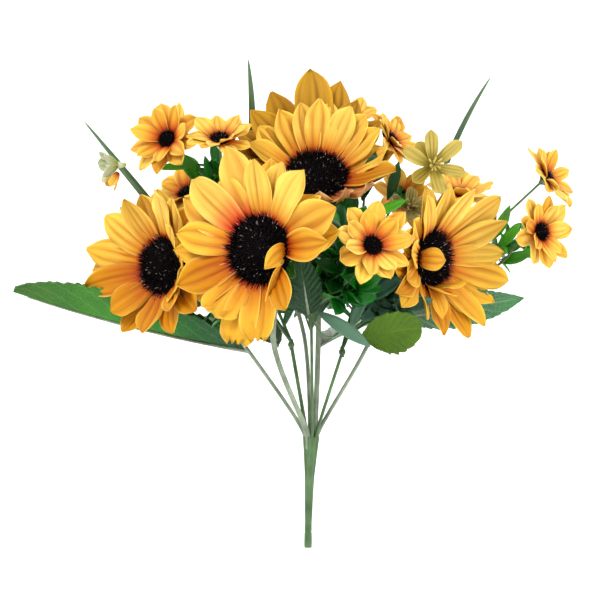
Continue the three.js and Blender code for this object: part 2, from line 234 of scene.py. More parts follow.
class Shader:
    """A material's node tree, with short ways to add the nodes that the bush's materials share."""

    def __init__(self, name, roughness=0.5, **constants):
        self.material = bpy.data.materials.new(name)
        self.material.use_nodes = True
        self.tree = self.material.node_tree
        self.bsdf = self.tree.nodes["Principled BSDF"]
        self.bsdf.inputs["Roughness"].default_value = roughness
        for socket, value in constants.items():
            self.bsdf.inputs[socket.replace("_", " ")].default_value = value

    def node(self, kind, inputs=(), **settings):
        made = self.tree.nodes.new(kind)
        for key, value in settings.items():
            setattr(made, key, value)
        for key, value in dict(inputs).items():
            self.feed(made.inputs[key], value)
        return made

    def feed(self, socket, value):
        if isinstance(value, bpy.types.NodeSocket):
            self.tree.links.new(value, socket)
        else:
            socket.default_value = value

    def mark(self, name):
        return self.node("ShaderNodeAttribute", attribute_name=name).outputs["Fac"]

    def math(self, operation, a, b=0.5, clamp=False):
        """A Math node; one that takes a single value ignores b."""
        made = self.node("ShaderNodeMath", {0: a, 1: b}, operation=operation, use_clamp=clamp)
        return made.outputs[0]

    def plus(self, a, b, clamp=False):
        return self.math("ADD", a, b, clamp)

    def minus(self, a, b):
        return self.math("SUBTRACT", a, b)

    def times(self, a, b):
        return self.math("MULTIPLY", a, b)

    def vector(self, x, y, z):
        return self.node("ShaderNodeCombineXYZ", {0: x, 1: y, 2: z}).outputs[0]

    def place(self):
        return self.node("ShaderNodeTexCoord").outputs["Object"]

    def noise(self, vector, scale, detail=3.0, roughness=0.55):
        inputs = {"Vector": vector, "Scale": scale, "Detail": detail, "Roughness": roughness}
        return self.node("ShaderNodeTexNoise", inputs).outputs["Fac"]

    def streaks(self, packed, scale, detail, apart=37.0):
        """Noise drawn out along a blade and packed closer across it, different on each blade."""
        own = self.times(self.mark("tint"), apart)
        across = self.times(self.mark("across"), packed)
        return self.noise(self.vector(across, self.mark("along"), own), scale, detail)

    def ramp(self, factor, *stops):
        made = self.node("ShaderNodeValToRGB", {"Fac": factor})
        ramp = made.color_ramp
        while len(ramp.elements) < len(stops):
            ramp.elements.new(1.0)
        for element, (place, colour) in zip(ramp.elements, stops):
            element.position = place
            element.color = srgb(colour) if isinstance(colour, str) else (colour,) * 3 + (1.0,)
        return made.outputs["Color"]

    def blend(self, factor, a, b, how="MIX"):
        made = self.node("ShaderNodeMix", data_type="RGBA", blend_type=how, clamp_factor=True)
        self.feed(made.inputs["Factor"], factor)
        self.feed(made.inputs[MIX_A], colour_or_socket(a))
        self.feed(made.inputs[MIX_B], colour_or_socket(b))
        return made.outputs[MIX_RESULT]

    def finish(self, colour, height, distance, strength, roughness=None):
        """Feeds in the colour, the bumps that the height makes, and the roughness, if it varies."""
        self.feed(self.bsdf.inputs["Base Color"], colour_or_socket(colour))
        if roughness is not None:
            self.feed(self.bsdf.inputs["Roughness"], roughness)
        inputs = {"Height": height, "Strength": strength, "Distance": distance}
        bump = self.node("ShaderNodeBump", inputs)
        self.feed(self.bsdf.inputs["Normal"], bump.outputs[0])
        return self.material


def weave(shader):
    """The crossed threads of thin polyester, as a height."""
    wave = {"Vector": shader.place(), "Scale": THREAD_SCALE, "Distortion": 1.5, "Detail": 1.0}
    warp = shader.node("ShaderNodeTexWave", wave, bands_direction="X").outputs["Fac"]
    weft = shader.node("ShaderNodeTexWave", wave, bands_direction="Z").outputs["Fac"]
    return shader.plus(warp, weft)


def petal_material(name, stops, pale, shade_and_fibre):
    """Printed cloth: dark at the disc, golden along the petal, with a pale rim. Painted light and shade
    are set per petal: lit petals pale towards the tip, shaded ones darken, and painted shade fills the
    hollows of the pleats.
    """
    shader = Shader(name, Specular_IOR_Level=0.16)
    along, across, tint = shader.mark("along"), shader.mark("across"), shader.mark("tint")
    wander = shader.times(shader.minus(shader.streaks(5.0, 1.7, 4.0), 0.5), 0.28)
    colour = shader.ramp(shader.plus(along, wander), *stops)
    beyond_disc = shader.ramp(along, (0.12, 0.0), (0.5, 1.0))
    # Painted light: petals marked as lit turn pale beyond the disc.
    lit_paleness = shader.times(shader.math("POWER", tint, 1.3), beyond_disc)
    colour = shader.blend(lit_paleness, colour, pale)
    # Painted shade: petals marked as shaded darken.
    shaded = shader.ramp(tint, (0.0, 0.6), (0.42, 0.0))
    colour = shader.blend(shaded, colour, shade_and_fibre, "MULTIPLY")
    # Painted shade in the hollows of the pleats, where the relief is low.
    crease_shade = shader.math("POWER", shader.minus(1.0, shader.mark("relief")), 2.4)
    colour = shader.blend(shader.times(crease_shade, 0.75), colour, shade_and_fibre, "MULTIPLY")
    fibres = shader.streaks(34.0, 2.4, 5.0)
    colour = shader.blend(shader.ramp(fibres, (0.45, 0.0), (0.75, 0.32)), colour, shade_and_fibre, "MULTIPLY")
    edge = shader.math("POWER", shader.math("ABSOLUTE", across), 14.0)
    colour = shader.blend(shader.times(edge, 0.55), colour, pale)
    height = shader.plus(shader.times(weave(shader), 0.3), fibres)
    rough = shader.plus(shader.times(fibres, 0.25), 0.42)
    return shader.finish(colour, height, distance=0.12 * MM, strength=0.45, roughness=rough)


def leaf_material(name, dark, stops, vein, gloss=0.5, veins=SIDE_VEINS, mark=0.6):
    """Printed leaf cloth: a mottled blade, a midrib, slanting side veins and a fine net."""
    shader = Shader(name, Specular_IOR_Level=0.3)
    along, place = shader.mark("along"), shader.place()
    blotch = shader.noise(place, 42.0, 4.0)
    mixed = shader.plus(shader.times(blotch, 2.0), shader.minus(shader.mark("tint"), 1.0))
    # The colour along the blade; the green and bright cloths darken towards the base with painted
    # shade.
    light = shader.ramp(along, *stops)
    colour = shader.blend(shader.plus(mixed, 0.42, clamp=True), dark, light)
    out = shader.math("ABSOLUTE", shader.mark("across"))
    wobble = shader.times(shader.noise(place, 120.0, 2.0), 0.35)
    run = shader.minus(shader.times(along, veins), shader.times(out, VEIN_SLANT))
    phase = shader.math("FRACT", shader.plus(run, wobble))
    centred = shader.math("ABSOLUTE", shader.minus(phase, 0.5))
    side_vein = shader.ramp(centred, (0.0, 1.0), (0.07, 0.0))
    midrib = shader.ramp(out, (0.02, 1.0), (0.075, 0.0))
    cell = {"Vector": place, "Scale": 420.0}
    cells = shader.node("ShaderNodeTexVoronoi", cell, feature="DISTANCE_TO_EDGE")
    net = shader.ramp(cells.outputs["Distance"], (0.0, 0.5), (0.09, 0.0))
    lines = shader.math("MAXIMUM", shader.math("MAXIMUM", side_vein, midrib), net)
    colour = shader.blend(shader.times(lines, mark), colour, vein)
    height = shader.plus(shader.times(lines, -0.9), shader.times(weave(shader), 0.12))
    rough = shader.plus(shader.times(blotch, 0.2), gloss - 0.1)
    return shader.finish(colour, height, distance=0.25 * MM, strength=0.6, roughness=rough)


def plain_leaf_material(name, colour, gloss):
    """A small leaf of one plain colour, uneven in its gloss and crumpled a little."""
    shader = Shader(name, Specular_IOR_Level=0.3)
    crumple = shader.noise(shader.place(), 160.0, 4.0)
    height = shader.plus(crumple, shader.times(weave(shader), 0.1))
    rough = shader.plus(shader.times(crumple, 0.4), gloss - 0.2)
    return shader.finish(colour, height, distance=0.4 * MM, strength=0.5, roughness=rough)


def stem_material(name, dark, light):
    """Dipped green plastic with faint lengthwise streaks and small pits."""
    shader = Shader(name, Specular_IOR_Level=0.45)
    place = shader.place()
    drawn_out = {"Vector": place, "Scale": (1.0, 1.0, 0.12)}
    stretched = shader.node("ShaderNodeMapping", drawn_out).outputs[0]
    streaks = shader.noise(stretched, 900.0, 3.0)
    patches = shader.noise(place, 55.0, 3.0)
    colour = shader.blend(shader.ramp(patches, (0.35, 0.0), (0.68, 1.0)), dark, light)
    colour = shader.blend(shader.ramp(streaks, (0.5, 0.0), (0.8, 0.5)), colour, dark)
    rough = shader.plus(shader.times(patches, 0.3), 0.28)
    return shader.finish(colour, streaks, distance=0.15 * MM, strength=0.5, roughness=rough)


PALE_TIP = "d8d0ca"


def bristle_material(name, dark, light, gloss):
    """Stiff dark bristles, each a little different, and a few with pale tips."""
    shader = Shader(name, Specular_IOR_Level=0.08)
    towards_tip = shader.plus(shader.times(shader.mark("along"), 0.45), 0.55)
    pick = shader.times(towards_tip, shader.mark("tint"))
    grain = shader.noise(shader.place(), 1500.0, 2.0)
    colour = shader.blend(shader.ramp(pick, (0.6, 0.0), (0.95, 1.0)), dark, light)
    colour = shader.blend(shader.ramp(pick, (0.83, 0.0), (0.88, 1.0)), colour, PALE_TIP)
    rough = shader.plus(shader.times(grain, 0.2), gloss)
    return shader.finish(colour, grain, distance=0.05 * MM, strength=0.4, roughness=rough)


def grass_material(name, dark, light):
    """A narrow plastic blade with parallel veins, darker at its foot."""
    shader = Shader(name)
    stripes = shader.streaks(9.0, 1.6, 3.0, apart=23.0)
    rise = shader.plus(shader.times(shader.mark("along"), 0.7), shader.minus(stripes, 0.45))
    colour = shader.blend(shader.plus(rise, 0.0, clamp=True), dark, light)
    rough = shader.plus(shader.times(stripes, 0.3), 0.3)
    return shader.finish(colour, stripes, distance=0.15 * MM, strength=0.5, roughness=rough)


# Each petal cloth's colours, from the disc (0) to the tip (1).
GOLD_STOPS = ((0.0, "641806"), (0.1, "c04008"), (0.22, "dd8204"), (0.5, "e8a404"), (1.0, "f2c010"))
# A darker copy of the gold: painted shade for the top head's bed.
SHADED_GOLD_STOPS = ((0.0, "6a2610"), (0.1, "985020"), (0.24, "a46c08"), (0.6, "aa7206"), (1.0, "ba840a"))
BLUSH_STOPS = ((0.0, "8c200c"), (0.16, "e23a14"), (0.34, "ee6a2c"), (0.5, "f0ac34"), (1.0, "f6cc38"))
CURLED_STOPS = ((0.0, "6a2410"), (0.2, "b0501c"), (0.55, "c87424"), (0.8, "dc9838"), (1.0, "eab87a"))
SMALL_STOPS = ((0.0, "641e06"), (0.2, "cc480a"), (0.38, "e4820c"), (0.58, "f0b01c"), (1.0, "f6cc44"))
PETALS = petal_material("petal_gold", GOLD_STOPS, "fcdc66", "bc7414")
SHADED_GOLD_PETALS = petal_material("petal_gold_shaded", SHADED_GOLD_STOPS, "dcaa2c", "7c5008")
BLUSH_PETALS = petal_material("petal_blush", BLUSH_STOPS, "fcdf70", "c07c20")
CURLED_PETALS = petal_material("petal_curled", CURLED_STOPS, "eec088", "8c4c1c")
SMALL_PETALS = petal_material("petal_small", SMALL_STOPS, "fbdc68", "c07818")
# The green cloth is dark at the base, painted shade, bright in the middle and olive at the tip.
LEAF_STOPS = ((0.0, "0e3428"), (0.2, "115a24"), (0.42, "2a8c1a"), (0.65, "377c18"), (1.0, "2c5416"))
LEAF = leaf_material("leaf_green", "0c4220", LEAF_STOPS, "74a850", gloss=0.35, mark=0.36)
SAGE_LEAF = leaf_material("leaf_sage", "224634", ((0.0, "43674a"), (1.0, "3c7a44")), "86a884")
# The bright cloth is darker at the base: painted shadow.
BRIGHT_LEAF = leaf_material(
    "leaf_bright", "2e4a02", ((0.0, "3e6202"), (1.0, "4e7402")), "70920e", veins=5.0, mark=0.3
)
DARK_LEAF = leaf_material(
    "leaf_dark", "05200a", ((0.0, "0a3212"), (1.0, "0e4016")), "4c7a54", gloss=0.3, veins=5.0, mark=0.34
)
# Two shades of each kind of foliage, side by side; each spray takes one of them.
FOLIAGE_SHADES = {
    "deep": ("06400c", "0c5418", 0.34), "mid": ("0e6414", "1c8024", 0.34),
    "fresh": ("2c7c0c", "469a1c", 0.34), "sage": ("3c6450", "5c846c", 0.5),
}
FOLIAGE = []
for kind, (darker, lighter, kind_gloss) in FOLIAGE_SHADES.items():
    FOLIAGE.append(plain_leaf_material(f"foliage_{kind}_1", darker, kind_gloss))
    FOLIAGE.append(plain_leaf_material(f"foliage_{kind}_2", lighter, kind_gloss))
CUP_GREEN = FOLIAGE[2]
STEM = stem_material("stem_green", "34542c", "5e8050")
STEM_GREY = stem_material("stem_grey_green", "66735f", "9ba892")
BRISTLES = bristle_material("disc_bristles", "060203", "3c1c20", gloss=0.25)
DISC_CORE = bristle_material("disc_core", "040102", "080303", gloss=0.7)
GRASS = grass_material("grass_blade", "223e20", "64845a")
FILLER_STOPS = ((0.0, "7a701c"), (0.3, "a28c2a"), (0.7, "b89e38"), (1.0, "c8b04e"))
PALE_STOPS = ((0.0, "8a9a14"), (0.35, "b4bc62"), (0.7, "c6caa0"), (1.0, "ccccb4"))
BROWN_STOPS = ((0.0, "5a4a1e"), (0.4, "7d7132"), (0.75, "8a7c34"), (1.0, "9a8c48"))
FILLER = petal_material("filler_petal", FILLER_STOPS, "d6c26c", "94842c")
FILLER_PALE = petal_material("filler_pale", PALE_STOPS, "dadcc4", "98a070")
FILLER_BROWN = petal_material("filler_brown", BROWN_STOPS, "b4a866", "5c5226")
DUSKY = petal_material("filler_dusky", ((0.0, "4a3428"), (1.0, "8a6c5e")), "a08a7c", "4a342c")


# ---- Places read from the frame ----
class Head:
    """Where a flower sits: its hub's centre, the way it faces, and its up and right as seen by
    someone it faces."""

    def __init__(self, centre, axis):
        self.centre = Vector(centre)
        self.axis = Vector(axis).normalized()
        upright = UP if abs(self.axis.z) < 0.98 else Vector((0, 1, 0))
        self.up = (upright - self.axis * upright.dot(self.axis)).normalized()
        self.right = self.up.cross(self.axis)

    def out(self, angle):
        a = math.radians(angle)
        return self.right * math.cos(a) + self.up * math.sin(a)

    def round(self, angle):
        a = math.radians(angle)
        return self.up * math.cos(a) - self.right * math.sin(a)

    def at(self, angle, radius, height):
        return self.centre + self.out(angle) * radius + self.axis * height

    def behind(self, depth):
        return self.centre - self.axis * depth


def node_points(node):
    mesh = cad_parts[node].data
    found = np.empty(len(mesh.vertices) * 3)
    mesh.vertices.foreach_get("co", found)
    return np.unique(found.reshape(-1, 3).round(6), axis=0)


def along_and_off(points, origin, axis):
    """Each point's height along an axis, and how far off the axis it lies."""
    heights = (points - origin) @ axis
    return heights, np.linalg.norm(points - origin - np.outer(heights, axis), axis=1)


def head_on_disc(node):
    """A large head, from its disc: the disc's widest flat face lies at the hub."""
    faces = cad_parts[node].data.polygons
    normals = np.array([tuple(f.normal) for f in faces])
    areas = np.array([f.area for f in faces])
    centres = np.array([tuple(f.center) for f in faces])
    same = normals @ normals.T > 0.9999
    flat = same[np.argmax(same @ areas)]
    centre = (centres[flat] * areas[flat, None]).sum(0) / areas[flat].sum()
    axis = -unit((normals[flat] * areas[flat, None]).sum(0))
    return Head(centre - axis * GAP, axis)


def head_on_dish(node, cup):
    """A small head, from its regular dish, whose foot is a cup's height behind the hub."""
    points = node_points(node)
    middle = points.mean(0)
    _, axes = np.linalg.eigh(np.cov((points - middle).T))
    axis = axes[:, 0]
    heights, radii = along_and_off(points, middle, axis)
    core = heights[radii < 0.2 * radii.max()].mean()
    rim = heights[radii > 0.8 * radii.max()].mean()
    if rim < core:
        axis, heights = -axis, -heights
    return Head(middle + axis * (heights.min() + cup), axis)


def ellipsoid(node):
    """The centre and the half sizes of a foliage mass."""
    low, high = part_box(node)
    return (low + high) / 2, (high - low) / 2


LARGE_NAMES = ("left", "front", "top", "right", "back")
SPRAYS = {
    "left": ("left_outer", "left_inner", "left_low", "back_left"),
    "centre": ("centre_front", "centre_high", "centre_top"),
    "right": ("right_low", "right_high", "right_inner", "back_right"),
}
LARGE = {k: head_on_disc(f"sunflower_{k}_disc") for k in LARGE_NAMES}
SMALL = {k: head_on_dish(f"small_{k}", SMALL_CUP) for keys in SPRAYS.values() for k in keys}
FILLERS = {k: head_on_dish(f"filler_{k}", FILLER_CUP) for k in ("right", "left", "middle")}


# ---- Flower heads ----
def petal_outline(base, widest, point, end=0.02):
    """Half width, as a share of the widest, from a petal's base (0) to its tip (1)."""

    def share(t):
        if t < widest:
            return base + (1 - base) * math.sin(math.pi / 2 * t / widest)
        return max(end, 1 - ((t - widest) / (1 - widest)) ** point)

    return share


# What a petal's form leaves out is drawn between these: angles, the sharpness of its point, where
# along it is widest, and how far its sides stand up as a share of its half width.
PETAL_RANGES = {
    "bend": (-26, 22), "curl": (-30, 14), "twist": (-12, 12), "point": (1.6, 2.5),
    "widest": (0.5, 0.64), "cup": (0.02, 0.24),
}
SWERVE_RANGE = (-0.05, 0.05)  # as shares of the petal's length


def drawn(form, key, rng):
    """A form's own value, or else one drawn at random. The draw is made either way."""
    value = rng.uniform(*PETAL_RANGES[key])
    return form.get(key, value)


def petal_rib(head, angle, start, reach, rise, height, rows, rng, form):
    """A petal's midrib, and the way its right half points beside each of the rib's points."""
    t = np.linspace(0, 1, rows)
    arch = np.radians(drawn(form, "bend", rng) * (t - 0.5))
    curl = np.radians(drawn(form, "curl", rng) * smoothstep((t - 0.7) / 0.3))
    # The rib is drawn on the plane of outwards (real) and upwards (imaginary).
    steps = np.exp(1j * (arch[1:] + arch[:-1]) / 2)
    turned = steps * np.exp(1j * (curl[1:] + curl[:-1]) / 2)
    chord = complex(reach - start, rise - height)
    route = np.concatenate([[0], np.cumsum(turned)]) * chord / steps.sum()
    rib = np.array([tuple(head.at(angle, start + z.real, height + z.imag)) for z in route])
    swerve = form.get("swerve", rng.uniform(*SWERVE_RANGE) * abs(chord))
    rib += np.outer(swerve * t**2, np.array(head.round(angle)))
    side = -np.array(head.round(angle))[None] * np.ones((rows, 1))
    roll = np.radians(drawn(form, "twist", rng) * t)[:, None]
    return rib, side * np.cos(roll) + np.cross(tangents(rib), side) * np.sin(roll)


def petal(piece, head, angle, start, reach, rise, width, rng, **form):
    """One petal, from the start radius to a tip at the reach radius and the rise above the hub.
    bend arches it over its length, curl turns its tip, twist rolls it and swerve drags its tip
    sideways. base, widest and point shape its outline, and a ragged petal ends in teeth. What the
    form leaves out is drawn at random."""
    rows, cols, height = form.get("rows", 16), form.get("cols", 11), form.get("height", 0)
    rib, side = petal_rib(head, angle, start, reach, rise, height, rows, rng, form)
    ragged = form.get("ragged", 0)
    point, widest = drawn(form, "point", rng), drawn(form, "widest", rng)
    torn = ragged / MM  # a torn tip is also broader
    share = petal_outline(form.get("base", 0.5), widest, point + 1.2 * torn, 0.02 + 0.1 * torn)
    folds, phase = rng.choice([1.5, 2.0, 2.5]), rng.uniform(-0.15, 0.15)
    cup, crease = drawn(form, "cup", rng), form.get("crease", 0.085) * width / 2
    wave, beat, lag = rng.uniform(0.03, 0.11) * width, rng.uniform(0.8, 1.9), rng.uniform(0, 6.3)

    def relief(t, s):
        body = np.sin(math.pi * np.clip(t, 0.04, 0.97)) ** 0.6
        pleats = np.cos(2 * math.pi * (folds * s * (1 - 0.25 * t) + phase))
        fine = 0.35 * np.cos(2 * math.pi * (2.4 * folds * s + 3 * phase))
        edge = wave * np.abs(s) ** 2.5 * np.sin(2 * math.pi * beat * t + lag + 0.8 * s) * t
        return cup * width / 2 * s**2 * body + crease * (pleats + fine) * body + edge

    def trim(t, s):
        teeth = np.abs(((s * 1.5 + 0.2 * lag) % 1) - 0.5) * 2
        return -ragged * teeth * smoothstep((t - 0.45) / 0.55)

    blade(
        piece, rib, side, lambda t: width / 2 * share(t), cols=cols, relief=relief,
        trim=trim if ragged else None, tint=form.get("tint", 0.5), slot=form.get("slot", 0),
    )


def spikes(piece, bases, directions, lengths, radius, tints):
    """Thin three-sided bristles, each from its base to a point."""
    bases, directions = np.asarray(bases, float), unit(np.asarray(directions, float))
    helper = np.where(np.abs(directions[:, 2:]) < 0.9, (0, 0, 1), (1, 0, 0))
    across = unit(np.cross(directions, helper))
    other = np.cross(directions, across)
    tips = bases + directions * np.asarray(lengths)[:, None]
    ring = []
    for k in range(3):
        a = 2 * math.pi * k / 3
        ring.append(bases + radius * (across * math.cos(a) + other * math.sin(a)))
    points = np.stack([*ring, tips], 1).reshape(-1, 3)
    starts = np.arange(len(bases))[:, None] * 4
    sides = np.array([[0, 1, 3], [1, 2, 3], [2, 0, 3], [2, 1, 0]])
    faces = (starts[:, None] + sides[None]).reshape(-1, 3)
    along = np.tile([0.25, 0.25, 0.25, 1.0], len(bases))
    piece.add(points, faces, along=along, tint=np.repeat(tints, 4))


def lathe(piece, head, profile, sides=28, slot=0, tint=0.5, flute=0.0, flutes=0):
    """A turned shape about a head's axis, from (radius, height) points."""
    angles = np.arange(sides) * 360 / sides
    points = []
    for radius, height in profile:
        for angle in angles:
            ripple = 1 + flute * math.cos(math.radians(angle * flutes))
            points.append(tuple(head.at(angle, max(radius, 0.02 * MM) * ripple, height)))
    faces = [tuple(q) for q in grid(len(profile), sides, closed=True)]
    last = (len(profile) - 1) * sides
    faces += [tuple(reversed(range(sides))), tuple(range(last, last + sides))]
    along = np.repeat(np.linspace(0, 1, len(profile)), sides)
    piece.add(points, faces, slot=slot, along=along, tint=tint)


def bristled_disc(piece, head, radius, height, count, bristle, rng):
    """A domed core set with count bristles on a sunflower's spiral, leaning out at the rim."""
    turns = [math.radians(a) for a in range(0, 91, 10)]
    dome = [(radius * math.cos(a) ** 0.7 if a < 1.57 else 0, height * math.sin(a)) for a in turns]
    lathe(piece, head, [(radius * 0.9, -1.2 * MM), *dome], slot=1)
    bases, directions, lengths, tints = [], [], [], []
    for k in range(count):
        share = math.sqrt((k + 0.5) / count)
        angle = math.degrees(k * GOLDEN_ANGLE) + rng.uniform(-4, 4)
        reach = radius * share
        rise = height * math.sqrt(max(0.0, 1 - share**2.9))
        lean = math.radians(8 + 66 * share**3 + rng.uniform(-14, 14))
        sideways = head.round(angle) * rng.uniform(-0.25, 0.25)
        direction = head.out(angle) * math.sin(lean) + head.axis * math.cos(lean) + sideways
        bases.append(tuple(head.at(angle, reach, rise * 0.92)))
        directions.append(tuple(direction))
        lengths.append(bristle * rng.uniform(0.55, 1.15) * (0.5 + 0.65 * share))
        tints.append(rng.random())
    spikes(piece, bases, directions, lengths, 0.075 * bristle + 0.05 * MM, tints)


def sepals(piece, head, count, rng, **form):
    """A ring of small green leaves behind a head."""
    for k in range(count):
        angle = k * 360 / count + rng.uniform(-6, 6)
        petal(piece, head, angle, tint=rng.random(), rng=rng, cols=5, **form)


# Each large head: its disc's radius, its petals and the bed of petals behind them as (angle,
# reach, rise, width), the petals that lie out of line as the same four with their forms, and its
# painted light, which makes its petals paler as if lit more. Angles run anticlockwise from the
# head's right, and lengths are in millimetres.
HEAD_FORMS = {
    "front": {
        "disc": 21.5,
        "petals": [
            (134, 63, 9, 25), (107, 65, 8, 24), (86, 52, 17, 21), (70, 54, 12, 19), (52, 56, 14, 22),
            (24, 60, 13, 25), (4, 56, 18, 22), (-51, 46, 20, 19), (183, 57, 9, 24), (201, 58, 8, 25),
            (168, 55, 11, 22), (151, 61, 8, 24),
        ],
        "bed": [(a, 54, 3, 23) for a in (120, 97, 79, 60, 38, 12, 143, 160, 192, 214)],
        "stray": [
            (-86, 57, 9, 25, {"ragged": 5, "curl": 0, "crease": 0.05}),
            (-104, 60, 6, 24, {"ragged": 4.5, "curl": 0, "crease": 0.05}),
            (-124, 54, 14, 27, {"ragged": 0.1, "curl": 150}),
            (-4, 13, 16, 13, {"bend": 70, "swerve": -12, "curl": 0}),
            (-30, 25, 13, 8, {"swerve": -22, "twist": 60}),
        ],
    },
    "left": {
        "disc": 19.5,
        "petals": [
            (119, 49, 18, 22), (107, 50, 13, 20), (143, 52, 18, 23), (169, 56, 18, 24),
            (183, 60, 13, 22), (197, 59, 16, 23), (224, 45, 18, 24), (267, 44, 15, 21),
            (70, 50, 22, 20), (56, 50, 24, 19), (32, 42, 26, 20), (6, 40, 25, 20), (-22, 40, 22, 18),
            (-50, 40, 20, 19),
        ],
        "bed": [(a, 50, 9, 22) for a in (131, 156, 176, 208, 240, 90, 44, -5, -36, -68)],
        "stray": [
            (-38, 30, 14, 13, {"bend": 40, "swerve": -8}),
            (18, 31, 20, 14, {"bend": 60, "swerve": 6}),
        ],
    },
    "top": {
        "disc": 21.5,
        "petals": [
            (88, 46, 25, 20), (77, 48, 24, 20), (63, 46, 25, 20), (46, 48, 23, 21), (14, 46, 20, 22),
            (30, 47, 22, 20), (-17, 49, 20, 21), (104, 47, 22, 20), (124, 47, 19, 21),
            (143, 48, 17, 21), (164, 48, 16, 21), (186, 46, 16, 21), (208, 44, 18, 20),
            (232, 42, 20, 20),
        ],
        "bed": [
            (92, 74, 28, 28), (76, 71, 26, 26), (118, 64, 21, 25), (134, 61, 18, 24), (151, 61, 16, 27),
            (59, 58, 20, 22), (40, 57, 18, 22), (172, 55, 14, 24), (196, 50, 14, 22), (8, 52, 16, 22),
            (-8, 50, 16, 22),
        ],
        "stray": [
            (-42, 45, 23, 20, {"curl": 60, "bend": 30}),
            (-66, 42, 25, 20, {"curl": 80, "bend": 30}),
            (-90, 39, 24, 19, {"curl": 60, "bend": 30}),
            (-112, 40, 22, 19, {"curl": 40, "bend": 30}),
        ],
    },
    "right": {
        "disc": 19.5,
        "painted_light_gain": 0.16,
        "petals": [
            (71, 51, 17, 18), (92, 47, 13, 18), (45, 66, 22, 21), (24, 61, 21, 19), (7, 61, 21, 18),
            (-10, 67, 21, 20), (-29, 61, 19, 19), (-46, 61, 17, 18), (-58, 60, 15, 17),
            (122, 50, 12, 20), (148, 44, 13, 19), (172, 42, 15, 20), (196, 42, 14, 20),
        ],
        "bed": [(a, 50, 8, 20) for a in (60, 36, 15, -2, -22, -42, 82, 110, 160, 184, 206, -80)],
        "stray": [
            (215, 52, 10, 18, {"twist": 30}),
            (246, 42, 13, 17, {"twist": -30}),
            (268, 38, 14, 17, {}),
            (178, 5, 15, 15, {"bend": 90, "curl": 0}),
            (-78, 13, 27, 16, {"bend": 40, "curl": -20}),
            (-98, 22, 24, 15, {"bend": 30, "curl": -20}),
        ],
    },
    "back": {
        "disc": 20, "petals": [(30 * k + 4, 51, 16, 22) for k in range(12)],
        "bed": [(30 * k + 19, 54, 7, 23) for k in range(12)], "stray": [],
    },
}


GOLD, SHADED_GOLD, BLUSH, CURLED = range(4)  # a large head's cloths
PETAL_ROOT, STRAY_ROOT = 0.8, 0.84  # where petals start, as shares of the disc's radius
WIDTH_SHARE = 0.92  # of the listed width, so that petals overlap a little less
BED_HEIGHT, LAYER_STEP, STAGGER = -1.6, 1.8, 0.8  # where petals start, in millimetres
RISE_STAGGER = 1.4  # how much higher or lower every other petal ends, in millimetres


def cloth_slot(name, angle, layer):
    """The top head's bed takes the darker gold, painted shade, and the front head blushes above and
    left of its disc.
    """
    if name == "top":
        return SHADED_GOLD if layer == 0 else GOLD
    return BLUSH if name == "front" and 90 < angle < 165 else GOLD


def large_petals(name, head, form, disc, rng):
    """A bed of petals with a layer on top, every other petal higher, and the stray ones."""
    petals = Piece()
    rows = [(0, *row) for row in sorted(form["bed"])] + [(1, *row) for row in sorted(form["petals"])]
    for k, (layer, angle, reach, rise, width) in enumerate(rows):
        # Painted light and shade: petals that point up are paler; those that point left and the bed are
        # darker.
        aim = math.radians(angle)
        light = 0.42 + 0.5 * math.sin(aim) - 0.2 * max(0, -math.cos(aim)) - 0.25 * (1 - layer)
        # Painted light, added where a head is to look more brightly lit.
        light += form.get("painted_light_gain", 0)
        petal(
            petals, head, angle + rng.uniform(-2.5, 2.5), start=disc * PETAL_ROOT,
            height=(BED_HEIGHT + LAYER_STEP * layer + STAGGER * (k % 2)) * MM,
            reach=reach * MM * rng.uniform(0.96, 1.03),
            rise=(rise - RISE_STAGGER + 2 * RISE_STAGGER * (k % 2) + rng.uniform(-0.8, 0.8)) * MM,
            width=width * MM * WIDTH_SHARE, tint=min(1, max(0.08, light + rng.uniform(-0.2, 0.2))),
            ragged=rng.choice((0, 0, 0.4, 0.8)) * MM, slot=cloth_slot(name, angle, layer), rng=rng,
        )
    # The stray petals all take the same middling painted light and shade.
    for angle, reach, rise, width, own in form["stray"]:
        lengths = {key: own[key] * MM for key in ("swerve", "ragged") if key in own}
        petal(
            petals, head, angle, start=disc * STRAY_ROOT, height=0.6 * MM, reach=reach * MM,
            rise=rise * MM, width=width * MM, tint=0.34, slot=CURLED if name == "top" else GOLD,
            rng=rng, **{**own, **lengths},
        )
    cloths = [PETALS, SHADED_GOLD_PETALS, BLUSH_PETALS, CURLED_PETALS]
    petals.build(f"{name}_head_petals", cloths, "petal", [f"sunflower_{name}_petals"], SHEET_THICKNESS)


def large_calyx(name, head, form, disc, rng):
    """The fluted cup behind a large head, and its ring of sepals, which lean as its bed does."""
    back = Piece()
    depth = PETAL_THICKNESS + CALYX_HEIGHT
    cup = [(2.1 * MM, -depth), (3.4 * MM, -depth + 1 * MM), (disc * 0.42, -depth * 0.66)]
    cup += [(disc * 0.7, -depth * 0.3), (disc * 0.84, -1.5 * MM)]
    lathe(back, head, cup, sides=40, flute=0.05, flutes=10, slot=1)
    _, bed_reach, bed_rise, _ = form["bed"][0]
    sepals(
        back, head, 10, rng, start=disc * 0.5, height=-depth * 0.55, reach=disc * 1.35,
        rise=-2.6 * MM + disc * (bed_rise / bed_reach) * 0.4, width=disc * 0.5, bend=12, rows=8,
    )
    back.build(f"{name}_head_calyx", [LEAF, STEM], "leaf", [f"sunflower_{name}_calyx"], SHEET_THICKNESS)


def large_head(name, seed):
    rng = random.Random(seed)
    head, form = LARGE[name], HEAD_FORMS[name]
    disc = form["disc"] * MM
    large_petals(name, head, form, disc, rng)
    centre = Piece()
    bristled_disc(centre, head, disc, height=5.5 * MM, count=850, bristle=5.2 * MM, rng=rng)
    centre.build(f"{name}_head_disc", [BRISTLES, DISC_CORE], "disc", [f"sunflower_{name}_disc"])
    large_calyx(name, head, form, disc, rng)


